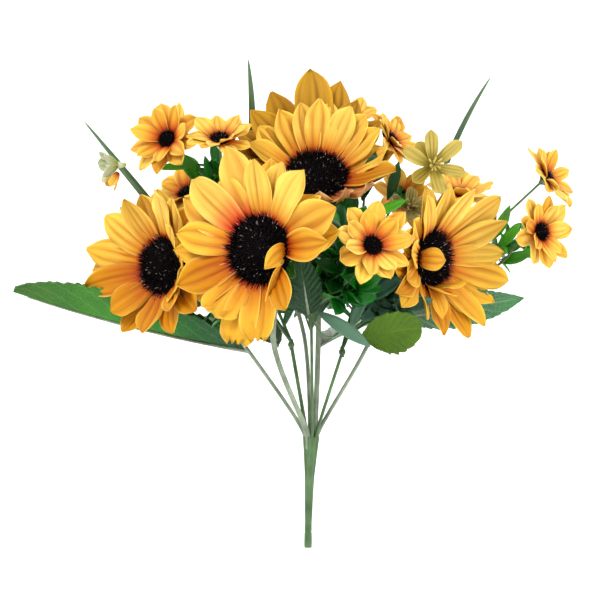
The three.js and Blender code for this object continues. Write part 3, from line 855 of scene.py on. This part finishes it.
def small_reach(name):
    """Centre to petal tip, read from the frame's dish."""
    head = SMALL[name]
    points = node_points(f"small_{name}")
    _, radii = along_and_off(points, np.array(head.centre), np.array(head.axis))
    return float(radii.max())


# A small head's rings of petals: how many, their reach and rise as shares of the head's reach, and
# their width in millimetres.
SMALL_RINGS = ((9, 1.06, 0.24, 13.5), (7, 0.86, 0.46, 11.5))


def small_petals(petals, name, rng):
    head, reach = SMALL[name], small_reach(name)
    for layer, (count, share, rise, width) in enumerate(SMALL_RINGS):
        turn = rng.uniform(0, 40)
        for k in range(count):
            petal(
                petals, head, turn + 360 * (k + 0.5 * layer) / count + rng.uniform(-6, 6),
                start=SMALL_DISC * 0.7, height=layer * 0.6 * MM,
                reach=reach * share * rng.uniform(0.9, 1.04),
                rise=reach * (rise + rng.uniform(-0.2, 0.14)),
                width=width * MM * reach / SMALL_REACH * rng.uniform(0.9, 1.12), rows=10, cols=7,
                base=0.42, point=rng.uniform(1.7, 2.8), ragged=rng.choice((0, 0.3, 0.6)) * MM,
                tint=rng.uniform(0.25, 0.95), rng=rng,
            )


def small_cup(cups, head, rng):
    """The flared cup under a small head, and its ring of sepals."""
    cup = [(1.1 * MM, -SMALL_CUP), (1.7 * MM, -SMALL_CUP * 0.8), (4.2 * MM, -SMALL_CUP * 0.35)]
    lathe(cups, head, [*cup, (SMALL_DISC * 0.8, -0.4 * MM)], sides=20, slot=1)
    sepals(
        cups, head, 7, rng, start=2.4 * MM, height=-SMALL_CUP * 0.62, reach=11 * MM,
        rise=1.5 * MM, width=4.6 * MM, rows=7,
    )


def small_heads(seed):
    """The petals of each spray are one piece; all the discs are one more, and all the cups."""
    rng = random.Random(seed)
    discs, cups = Piece(), Piece()
    for spray, names in SPRAYS.items():
        petals = Piece()
        for name in names:
            head = SMALL[name]
            small_petals(petals, name, rng)
            bristled_disc(
                discs, head, SMALL_DISC, height=2.6 * MM, count=210, bristle=2.9 * MM, rng=rng
            )
            small_cup(cups, head, rng)
        petals.build(
            f"small_petals_{spray}", [SMALL_PETALS], "petal", [f"small_{name}" for name in names],
            SHEET_THICKNESS,
        )
    discs.build("small_discs", [BRISTLES, DISC_CORE], "disc")
    cups.build("small_cups", [CUP_GREEN, STEM], "stem", thickness=SHEET_THICKNESS)


# Each filler flower: its petals as (angle, reach, rise, width), their cloth, how many stamens it
# has, and the petals beside it, if any: their hub, the way they face, their rows and their slot.
FILLER_FORMS = {
    "right": {
        "petals": [
            (94, 22, 8, 9), (40, 24, 6, 9), (-16, 21, 5, 8.5), (-76, 20, 7, 10), (-140, 19, 9, 9),
            (160, 22, 8, 10), (124, 18, 3, 8),
        ],
        "cloth": FILLER, "stamens": 9,
    },
    "left": {
        "petals": [
            (100, 9, 12, 9), (30, 9, 11, 8), (-40, 10, 12, 9), (-110, 11, 11, 10), (170, 9, 12, 9),
        ],
        "cloth": FILLER_PALE, "stamens": 4,
        "beside": (
            mm(-123, -3, 243), (-0.55, -0.25, -0.8),
            [(90 * k, 4 + k % 2, 11, 5.5) for k in range(4)], 1,
        ),
    },
    "middle": {
        "petals": [(80, 13, 6, 8), (20, 14, 4, 8), (-40, 12, 5, 8), (-100, 13, 5, 8), (160, 14, 5, 8)],
        "cloth": FILLER_BROWN, "stamens": 5,
        "beside": (mm(72, -4, 216), (0.1, -0.9, -0.3), [(-80, 13, 3, 11), (-20, 11, 4, 9)], 2),
    },
}


def open_petals(piece, head, rows, rng, slot=0):
    for angle, reach, rise, width in rows:
        petal(
            piece, head, angle, start=1.2 * MM, reach=reach * MM, rise=rise * MM, width=width * MM,
            base=0.28, widest=0.66, point=rng.uniform(3, 5), rows=14, cols=9,
            tint=rng.uniform(0.15, 0.8), slot=slot, rng=rng,
        )


def filler_flower(name, seed):
    rng = random.Random(seed)
    head, form = FILLERS[name], FILLER_FORMS[name]
    piece = Piece()
    open_petals(piece, head, form["petals"], rng)
    for k in range(form["stamens"]):
        angle = 360 * k / form["stamens"] + rng.uniform(-10, 10)
        lean = rng.uniform(0.15, 0.55)
        tip = head.at(angle, 9 * MM * lean, rng.uniform(6, 10) * MM)
        path = smooth_path([head.at(angle, 0.5 * MM, 0), head.at(angle, 2 * MM * lean, 4 * MM), tip], 5)
        tube(piece, path, lambda t: 0.32 * MM * (1 + 0.9 * t**6), sides=5, tint=0.9)
    lathe(piece, head, [(0.8 * MM, -FILLER_CUP), (1.7 * MM, -2.5 * MM), (2.2 * MM, 0.3 * MM)], sides=14)
    if "beside" in form:
        centre, axis, rows, slot = form["beside"]
        open_petals(piece, Head(centre, axis), rows, rng, slot)
    cloths = [form["cloth"], SMALL_PETALS, DUSKY]
    piece.build(f"filler_flower_{name}", cloths, "filler", [f"filler_{name}"], SHEET_THICKNESS)


# ---- Stems ----
# The same points as the frame's stems: the angle round the fork, the waist or knob, the radius,
# and for a spray the heads that its twigs reach and the points that they pass on the way.
HEAD_STEMS = {
    "left": (185, mm(-38, 6, 126), 1.3), "front": (235, mm(-22, -22, 134), 1.8),
    "top": (55, mm(7, 12, 150), 1.8), "right": (10, mm(39, 6, 131), 1.3),
    "back": (100, mm(-2, 26, 134), 1.4),
}
SPRAY_STEMS = {
    "left": {
        "angle": 140, "knob": mm(-11, 14, 131), "radius": 1.3,
        "twigs": {
            "left_outer": [mm(-60, 22, 206)], "left_inner": [mm(-40, 24, 202)],
            "left_low": [mm(-54, 46, 190)], "back_left": [mm(-34, 52, 160)],
        },
    },
    "centre": {
        "angle": 280, "knob": mm(2, -14, 152), "radius": 1.0,
        "twigs": {
            "centre_front": [mm(24, -34, 172)], "centre_high": [mm(34, 38, 205)],
            "centre_top": [mm(22, 44, 215)],
        },
    },
    "right": {
        "angle": 325, "knob": mm(22, -8, 127), "radius": 1.1,
        "twigs": {
            "right_low": [mm(34, 14, 148), mm(98, 44, 170), mm(132, 42, 186)],
            "right_high": [mm(33, 15, 150), mm(94, 52, 182)],
            "right_inner": [mm(31, 16, 152), mm(74, 54, 184)], "back_right": [mm(29, 17, 152)],
        },
    },
}
# A stem's last bend, as in the frame: how far it is behind a large head's hub or a small head's
# cup, and how much lower.
HEAD_NECK, HEAD_NECK_DROP = 26 * MM, mm(0, 0, 6)
TWIG_NECK, TWIG_NECK_DROP = 12 * MM, mm(0, 0, 4)


def fork_point(angle, drop=0.0):
    """Where a stem leaves the fork, or passes inside it, a little lower and nearer its middle."""
    a = math.radians(angle)
    ring = FORK_RING * (1 - drop * 0.4)
    lean = FORK_LEAN * (1 - 0.15 * drop)
    return Vector((lean + ring * math.cos(a), ring * math.sin(a), FORK_HEIGHT - 8 * MM * drop))


def stem_path(angle, points, steps):
    foot = [fork_point(angle, 1.0), fork_point(angle)]
    return smooth_path([*foot, *points], steps)


def ridged(t, angle):
    """A stem's faint mould ridges, the same all along it."""
    return 1 + 0.05 * np.cos(4 * angle)


def stem_radius(radius, flare, collar=0.0):
    """A stem's radius along it, in metres: flared at the fork, with a collar under its head."""

    def at(t):
        foot = 0.5 * math.exp(-t / flare)
        return MM * (radius + foot + collar * smoothstep((t - 0.9) / 0.1))

    return at


def main_stem():
    """The moulded stem: fluted where the side stems sink into it, with a shallow ring near its foot."""
    piece = Piece()
    heights = np.linspace(0, 1, 73)
    path = [(FORK_LEAN * h**1.5, 0, FORK_HEIGHT * h) for h in heights]
    known_heights = [0, 1.5, 16, 46, 62, 72]
    known_radii = [2.3, 2.6, 2.3, 3.1, 4.2, 5.0]

    def radius(t):
        z = t * FORK_HEIGHT / MM
        ring = 0.22 * math.exp(-(((z - 10) / 0.7) ** 2))
        return (np.interp(z, known_heights, known_radii) - ring) * MM

    def flutes(t, angle):
        return 1 + (0.02 + 0.13 * smoothstep((t - 0.35) / 0.6)) * np.cos(8 * angle)

    tube(piece, path, radius, sides=48, lobes=flutes)
    piece.build("moulded_stem", [STEM], "stem", ["main_stem"])


def side_stems():
    """The five stems that carry a large head each, with a collar under the head."""
    for name, (angle, waist, radius) in HEAD_STEMS.items():
        head = LARGE[name]
        piece = Piece()
        end = head.behind(PETAL_THICKNESS + CALYX_HEIGHT - 2 * MM)
        neck = head.behind(HEAD_NECK) - HEAD_NECK_DROP
        path = stem_path(angle, [waist, neck, end], 60)
        tube(piece, path, stem_radius(radius, 0.06, collar=0.35), sides=12, lobes=ridged)
        piece.build(f"{name}_head_stem", [STEM_GREY], "stem", [f"stem_{name}"])


def knob(piece, centre, radius):
    """A moulded knuckle: a bead with a collar at each end."""
    head = Head(centre, UP)
    profile = [(0.55, -1.5), (0.62, -1.1), (0.5, -0.9), (0.85, -0.6), (1.0, -0.1)]
    profile += [(0.95, 0.35), (0.7, 0.8), (0.55, 1.1), (0.66, 1.3), (0.5, 1.6)]
    lathe(piece, head, [(r * radius, z * radius) for r, z in profile], sides=18, tint=0.6)


def spray_stems(seed):
    rng = random.Random(seed)
    for name, spray in SPRAY_STEMS.items():
        stem, twigs = Piece(), Piece()
        path = stem_path(spray["angle"], [spray["knob"]], 30)
        tube(stem, path, stem_radius(spray["radius"], 0.08), sides=10, lobes=ridged)
        knob(stem, spray["knob"], KNOB_RADIUS)
        stem.build(f"{name}_spray_stem", [STEM], "stem", [f"spray_{name}_stem"])
        for target, via in spray["twigs"].items():
            head = SMALL[target]
            end = head.behind(SMALL_CUP - 1 * MM)
            neck = head.behind(SMALL_CUP + TWIG_NECK) - TWIG_NECK_DROP
            path = smooth_path([spray["knob"] + UP * 2 * MM, *via, neck, end], 44)
            tube(twigs, path, lambda t: MM * (1.15 - 0.35 * t), sides=8, tint=rng.random())
            node_at = path[int(len(path) * rng.uniform(0.4, 0.55))]
            knob(twigs, Vector(node_at), TWIG_KNOB)
        twigs.build(f"{name}_spray_twigs", [STEM], "stem", [f"spray_{name}_twigs"])


# ---- Leaves and grass ----
# The same places as the frame's leaves: base, tip, bow of the midrib, the way the right half
# points, width and fold; then how blunt its base and its tip are (less is blunter), how far along
# it is fullest (more is further), its teeth and its cloth.
LEAVES = {
    "leaf_left_large": (
        (mm(-39, 12, 127), mm(-198, 30, 166), mm(-4, 28, -7)), ((0, 1, 0.1), 46, 75),
        (0.8, 0.45, 0.85, 26, LEAF),
    ),
    "leaf_right_large": (
        (mm(64, 20, 149), mm(147, 42, 162), mm(0, 8, 0)), ((0.1, 0.5, -0.85), 30, 8),
        (0.8, 0.8, 0.85, 16, SAGE_LEAF),
    ),
    "leaf_right_bright": (
        (mm(32, -22, 135), mm(71, -34, 143), mm(0, -4, 3)), ((0.1, 0.35, -0.9), 29, 10),
        (0.8, 0.4, 1.25, 7, BRIGHT_LEAF),
    ),
    "leaf_centre_round": (
        (mm(0, -34, 152), mm(-5, -44, 186), mm(0, -3, 0)), ((1, 0, 0.1), 23, 4),
        (0.45, 0.45, 0.85, 0, DARK_LEAF),
    ),
    "leaf_back_large": (
        (mm(8, 34, 130), mm(84, 118, 150), mm(0, 0, 10)), ((0.75, -0.65, 0.2), 48, 12),
        (0.8, 0.8, 0.85, 22, LEAF),
    ),
    "leaf_back_left": (
        (mm(-20, 34, 130), mm(-84, 116, 146), mm(0, 0, 12)), ((0.78, 0.6, 0.15), 44, 12),
        (0.8, 0.8, 0.85, 20, SAGE_LEAF),
    ),
}
LEAF_SLOTS = {LEAF: "leaf", SAGE_LEAF: "sage_leaf", BRIGHT_LEAF: "bright_leaf", DARK_LEAF: "foliage"}


def bowed(base, tip, bow, steps):
    """The quadratic curve from base to tip whose middle control point is pushed out by bow."""
    middle = (base + tip) / 2 + bow
    t = np.linspace(0, 1, steps + 1)[:, None]
    b, m, e = (np.array(v) for v in (base, middle, tip))
    return (1 - t) ** 2 * b + 2 * t * (1 - t) * m + t**2 * e


def serrated_leaf(name, seed):
    """A stamped leaf: toothed edges, pillowed between its side veins, with a plastic midrib."""
    (base, tip, bow), (across, width, fold), (tail, blunt, fullest, teeth, cloth) = LEAVES[name]
    rng = random.Random(seed)
    rows = 97
    rib = bowed(base, tip, bow, rows - 1)
    lag = rng.uniform(0, 6.3)

    def half(t):
        full = max(0.02, math.sin(math.pi * min(t, 0.999) ** fullest))
        outline = full ** (tail + (blunt - tail) * t)
        saw = (t * teeth) % 1.0 if teeth else 0.0
        return max(0.5 * MM, width * MM / 2 * outline * (0.94 + 0.1 * saw))

    def relief(t, s):
        veins = 2 * math.pi * (SIDE_VEINS * t - VEIN_SLANT * np.abs(s))
        pillow = 0.5 * MM * np.cos(veins + math.pi)
        droop = -1.6 * MM * np.abs(s) ** 2 * np.sin(5 * t + lag)
        return (pillow * np.abs(s) ** 0.5 + droop) * np.sin(math.pi * np.clip(t, 0.02, 0.98)) ** 0.5

    piece = Piece()
    blade(piece, rib, across, half, cols=33, fold=fold, relief=relief, tint=rng.uniform(0.4, 0.6))
    ridge = rib - unit(np.cross(np.broadcast_to(across, rib.shape), tangents(rib))) * 0.5 * MM
    rib_slot = 0 if cloth is BRIGHT_LEAF else 1
    tube(piece, ridge[:-6], lambda t: 0.95 * MM * (1.15 - 0.95 * t), sides=8, slot=rib_slot)
    piece.build(f"{name}_cloth", [cloth, STEM_GREY], LEAF_SLOTS[cloth], [name], SHEET_THICKNESS)


# Each tuft: the frame's blade as base, tip, bow and width, thinner ones beside it as (base shift,
# tip shift, width), and how many millimetres its root runs back (below 0, forwards).
GRASS_TUFTS = {
    "grass_left": (
        (mm(-96, 32, 214), mm(-146, 4, 277), mm(3, 0, -3), 6), [(mm(4, 2, -6), mm(17, 6, -24), 5)], 6,
    ),
    "grass_top": ((mm(-38, 46, 262), mm(-40, 30, 322), mm(2, 0, 0), 7), [], 6),
    "grass_right": ((mm(92, 20, 252), mm(120, 10, 307), mm(-3, 0, 2), 5.5), [], 6),
    "grass_back": (
        (mm(20, 84, 220), mm(44, 112, 286), mm(0, 4, 6), 6), [(mm(-4, 1, 0), mm(-26, -6, -12), 5)], -20,
    ),
}
ROOT_LENGTH = 26  # of a tuft, in millimetres


def grass_half(width):
    """A grass blade's half width, from its foot (0) to its tip (1)."""

    def half(t):
        taper = width * MM / 2 * math.sqrt(max(0.0, 1 - t))
        return max(0.12 * MM, taper * (0.8 + 0.2 * math.sin(2.5 * t)))

    return half


def grass_tuft(name, seed):
    rng = random.Random(seed)
    (base, tip, bow, width), others, root_back = GRASS_TUFTS[name]
    stalks = [(base, tip, width)] + [(base + low, tip + high, w) for low, high, w in others]
    piece = Piece()
    for low, high, wide in stalks:
        blade(
            piece, bowed(low, high, bow, 40), (1, 0.2, 0.3), grass_half(wide), fold=24,
            relief=lambda t, s: 0.1 * MM * np.cos(9 * s), tint=rng.random(),
        )
    end = base + (base - tip).normalized() * ROOT_LENGTH * MM
    turned = end + mm(rng.uniform(-4, 4), root_back, -4)
    root = smooth_path([turned, (base + end) / 2, base + (tip - base) * 0.04], 12)
    tube(piece, root, lambda t: 1.1 * MM, sides=8, slot=1)
    piece.build(f"{name}_tuft", [GRASS, STEM], "grass", [name], THIN_LEAF)


# ---- Foliage ----
def small_leaf(piece, base, direction, facing, length, width, rng, slot=0):
    """A leaf of a few faces: creased along its midrib, arched and pointed."""
    direction = direction.normalized()
    facing = (facing - direction * facing.dot(direction)).normalized()
    side = direction.cross(facing)
    arch = rng.uniform(-0.28, 0.12) * length
    steps = np.linspace(0, 1, 7)[:, None]
    rib = np.array(base) + steps * np.array(direction * length) + steps**2 * np.array(facing * arch)
    outline = petal_outline(0.12, rng.uniform(0.42, 0.54), 2.3)
    blade(
        piece, rib, np.array(side), lambda t: width / 2 * outline(t), cols=5, fold=rng.uniform(8, 26),
        tint=rng.random(), slot=slot,
    )


# Each mass: the limb point its twigs leave, how far it is pushed from the frame's mass, how many
# twigs it has, pairs of leaves on each, leaf length and width in millimetres, and the shares of
# its twigs that take each kind of foliage.
MASSES = {
    "foliage_centre": (mm(4, -8, 146), mm(0, 0, 0), 12, 4, 19, 12.5, (0.6, 0.36, 0.04, 0.0)),
    "foliage_low_right": (mm(24, 0, 136), mm(2, 0, 2), 7, 3, 18, 9, (0.25, 0.15, 0.0, 0.6)),
    "foliage_low_left": (mm(-20, 2, 134), mm(0, 4, 2), 8, 4, 17, 9, (0.7, 0.25, 0.05, 0.0)),
    "foliage_top_left": (mm(-48, 23, 212), mm(4, 4, -6), 4, 3, 18, 8, (0.1, 0.5, 0.4, 0.0)),
    "foliage_right": (mm(98, 46, 176), mm(19, 29, -3), 6, 2, 16, 7.5, (0.0, 0.45, 0.55, 0.0)),
    "foliage_back": (mm(2, 20, 140), mm(0, 2, 0), 18, 5, 20, 11, (0.5, 0.3, 0.1, 0.1)),
}
PAIR_TURN = math.radians(97)  # from one pair of leaves to the next
NOT_UP = Vector((0.01, 0.02, 0))  # keeps the pairs on an upright twig from losing their way


def paired_leaves(leaves, path, pairs, length, width, slot, rng):
    """Leaves in turning pairs along the outer part of a twig. Gives the way the twig ends, and
    the way across it at the last pair."""
    ways = tangents(path)
    spin = rng.uniform(0, 6.3)
    for pair in range(pairs):
        share = 0.42 + 0.56 * (pair + 1) / pairs
        at = min(len(path) - 1, int(round(share * (len(path) - 1))))
        way = Vector(ways[at])
        across = way.cross(UP + NOT_UP).normalized()
        other = way.cross(across)
        spin += PAIR_TURN
        for flip in (0, math.pi):
            out = across * math.cos(spin + flip) + other * math.sin(spin + flip)
            heading = out + way * rng.uniform(0.35, 0.9)
            grown = length * rng.uniform(0.7, 1.15)
            small_leaf(leaves, Vector(path[at]), heading, way, grown, width * grown / length, rng, slot)
    return ways[-1], across


def grow_spray(leaves, twigs, node, rng):
    """Twigs leave the limb and end spread through the mass."""
    root, shift, count, pairs, length, width, shares = MASSES[node]
    centre, size = ellipsoid(node)
    centre = centre + shift
    for k in range(count):
        slot = 2 * rng.choices(range(len(shares)), weights=shares)[0] + rng.randrange(2)
        height = 1 - 2 * (k + 0.5) / count
        turn = k * GOLDEN_ANGLE + rng.uniform(-0.3, 0.3)
        flat = math.sqrt(1 - height * height)
        spot = Vector((flat * math.cos(turn), flat * math.sin(turn), height)) * rng.uniform(0.72, 0.95)
        end = centre + Vector(a * b for a, b in zip(spot, size))
        middle = root.lerp(centre, rng.uniform(0.45, 0.7)) + (end - centre) * 0.25
        path = smooth_path([root, middle, end], 16)
        tube(twigs, path, lambda t: MM * (0.75 - 0.4 * t), sides=5, tint=rng.random())
        way, across = paired_leaves(leaves, path, pairs, length * MM, width * MM, slot, rng)
        small_leaf(leaves, end, Vector(way), across, length * MM, width * MM, rng, slot)


# Single leaves that show in front: base, tip, the way the face looks, width in millimetres and
# kind of foliage, from 0 (deep) to 3 (sage).
LOOSE_LEAVES = [
    (mm(38, -16, 160), mm(59, -26, 175), (-0.2, -1, 0.5), 13, 3),
    (mm(27, -14, 142), mm(37, -22, 166), (-0.7, -0.8, 0.1), 9, 3),
    (mm(34, -10, 148), mm(57, -14, 164), (0.3, -1, 0.2), 12, 3),
    (mm(39, -25, 131), mm(6, -29, 155), (-0.1, -1, 0.5), 10, 3),
    (mm(44, -12, 150), mm(62, -12, 183), (0.3, -1, 0), 12, 0),
    (mm(22, -20, 164), mm(31, -30, 182), (0.5, -1, 0.1), 9, 1),
    (mm(18, -16, 158), mm(4, -30, 180), (-0.6, -1, 0.2), 13, 1),
    (mm(40, -10, 214), mm(64, -14, 223), (-0.1, -0.7, 0.7), 10, 2),
    (mm(52, 6, 226), mm(60, 0, 250), (0.4, -1, 0.1), 8, 0),
    (mm(-76, 24, 250), mm(-100, 16, 246), (0, -0.8, 0.6), 8, 2),
    (mm(-74, 26, 240), mm(-84, 20, 258), (0.2, -1, 0.2), 11, 2),
    (mm(24, 8, 208), mm(30, 0, 234), (0.3, -1, 0.1), 12, 0),
    (mm(-30, 6, 142), mm(-73, 12, 168), (0, -1, 0.2), 19, 0),
    (mm(-28, 8, 138), mm(-66, 14, 152), (0.1, -1, 0.3), 15, 1),
    (mm(36, 14, 226), mm(44, 8, 258), (-0.4, -1, 0.1), 12, 0),
    (mm(14, -4, 196), mm(22, -14, 222), (0.2, -1, 0.1), 15, 0),
    (mm(34, -8, 186), mm(24, -18, 212), (-0.2, -1, 0.1), 14, 0),
    (mm(120, 47, 204), mm(127, 44, 230), (0.4, -1, 0.2), 10, 0),
    (mm(110, 46, 196), mm(128, 38, 220), (0.2, -1, 0.2), 13, 1),
    (mm(124, 46, 200), mm(140, 42, 224), (0.5, -1, 0.1), 9, 2),
    (mm(131, 44, 186), mm(152, 34, 192), (-0.1, -1, 0.4), 9, 2),
    (mm(128, 44, 194), mm(145, 38, 212), (-0.3, -1, 0.2), 8, 2),
]
TENDRIL = [mm(2, -30, 154), mm(4, -31, 146), mm(9, -30, 139), mm(14, -28, 137), mm(21, -22, 141)]


def foliage(seed):
    rng = random.Random(seed)
    leaves, twigs = Piece(), Piece()
    for node in MASSES:
        grow_spray(leaves, twigs, node, rng)
    for k, (base, tip, facing, width, kind) in enumerate(LOOSE_LEAVES):
        way = tip - base
        small_leaf(leaves, base, way, Vector(facing), way.length, width * MM, rng, 2 * kind + k % 2)
    tube(twigs, smooth_path(TENDRIL, 24), lambda t: 0.7 * MM, sides=6)
    leaves.build("foliage_leaves", FOLIAGE, "foliage", list(MASSES), THIN_LEAF)
    twigs.build("foliage_twigs", [STEM], "stem")


# ---- Studio ----
CAMERA_AT = mm(-5.2, -900, 160.5)
VIEW_WIDTH = 390 * MM  # how much the camera sees across at the bush's middle
SENSOR = 36.0
WORLD_STRENGTH = 0.32
BUSH_MIDDLE, BACKDROP = Vector((0, 0, 0.19)), Vector((0, 2.5, 0.7))
# Each lamp: its place, what it is aimed at, its size in metres and its power in watts.
LAMPS = {
    "key": ((-0.75, -1.0, 1.3), BUSH_MIDDLE, 0.45, 16.5),
    "fill": ((1.2, -0.9, 0.6), BUSH_MIDDLE, 0.8, 9.0),
    "rim": ((0.4, 1.0, 1.2), BUSH_MIDDLE, 0.8, 8.0),
    "backdrop_left": ((-1.3, 0.9, 1.9), BACKDROP, 1.0, 34.0),
    "backdrop_right": ((1.3, 0.9, 1.9), BACKDROP, 1.0, 34.0),
}


def place_camera():
    camera = bpy.data.cameras.new("camera")
    camera.sensor_width = SENSOR
    camera.lens = SENSOR * -CAMERA_AT.y / VIEW_WIDTH
    obj = bpy.data.objects.new("camera", camera)
    obj.location = CAMERA_AT
    obj.rotation_euler = (math.radians(90), 0, 0)
    bpy.context.scene.collection.objects.link(obj)
    bpy.context.scene.camera = obj


def light_studio():
    """A plain white world, dim, and area lamps on the bush and on the backdrop."""
    world = bpy.data.worlds.new("studio")
    world.use_nodes = True
    background = world.node_tree.nodes["Background"]
    background.inputs["Color"].default_value = (1, 1, 1, 1)
    background.inputs["Strength"].default_value = WORLD_STRENGTH
    bpy.context.scene.world = world
    bpy.context.scene.view_settings.view_transform = "Standard"
    for name, (spot, target, size, watts) in LAMPS.items():
        lamp = bpy.data.lights.new(name, "AREA")
        lamp.size = size
        lamp.energy = watts
        light = bpy.data.objects.new(name, lamp)
        light.location = spot
        aim = target - light.location
        light.rotation_euler = aim.to_track_quat("-Z", "Y").to_euler()
        bpy.context.scene.collection.objects.link(light)


def floor():
    """A round pale floor that curves up into a backdrop far from the bush."""
    shader = Shader("pale_floor", roughness=0.7)
    grain = shader.noise(shader.place(), 260.0, 3.0)
    paint = shader.finish(
        shader.blend(shader.ramp(grain, (0.4, 0.0), (0.7, 1.0)), "f6f6f5", "fafaf9"), grain,
        distance=0.05 * MM, strength=0.1,
    )
    radius, bend, height, sides, steps = 2.6, 1.2, 2.4, 72, 18
    profile = [(0.02, 0.0), (radius - bend, 0.0)]
    for k in range(1, steps + 1):
        a = math.pi / 2 * k / steps
        profile.append((radius - bend + bend * math.sin(a), bend * (1 - math.cos(a))))
    profile.append((radius, height))
    turns = [2 * math.pi * k / sides for k in range(sides)]
    below = 0.2 * MM  # the floor lies this far under the stem's foot
    points = [(r * math.cos(a), r * math.sin(a), z - below) for r, z in profile for a in turns]
    faces = grid(len(profile), sides, closed=True).tolist() + [list(reversed(range(sides)))]
    mesh = bpy.data.meshes.new("floor")
    mesh.from_pydata(points, [], faces)
    mesh.materials.append(paint)
    mesh.shade_smooth()
    obj = bpy.data.objects.new("floor", mesh)
    bpy.context.scene.collection.objects.link(obj)


# ---- The bush ----
place_camera()
light_studio()
floor()
main_stem()
side_stems()
spray_stems(seed=11)
for number, key in enumerate(LARGE_NAMES):
    large_head(key, seed=101 + number)
small_heads(seed=202)
for number, key in enumerate(FILLERS):
    filler_flower(key, seed=303 + number)
for number, key in enumerate(LEAVES):
    serrated_leaf(key, seed=404 + number)
for number, key in enumerate(GRASS_TUFTS):
    grass_tuft(key, seed=505 + number)
foliage(seed=606)
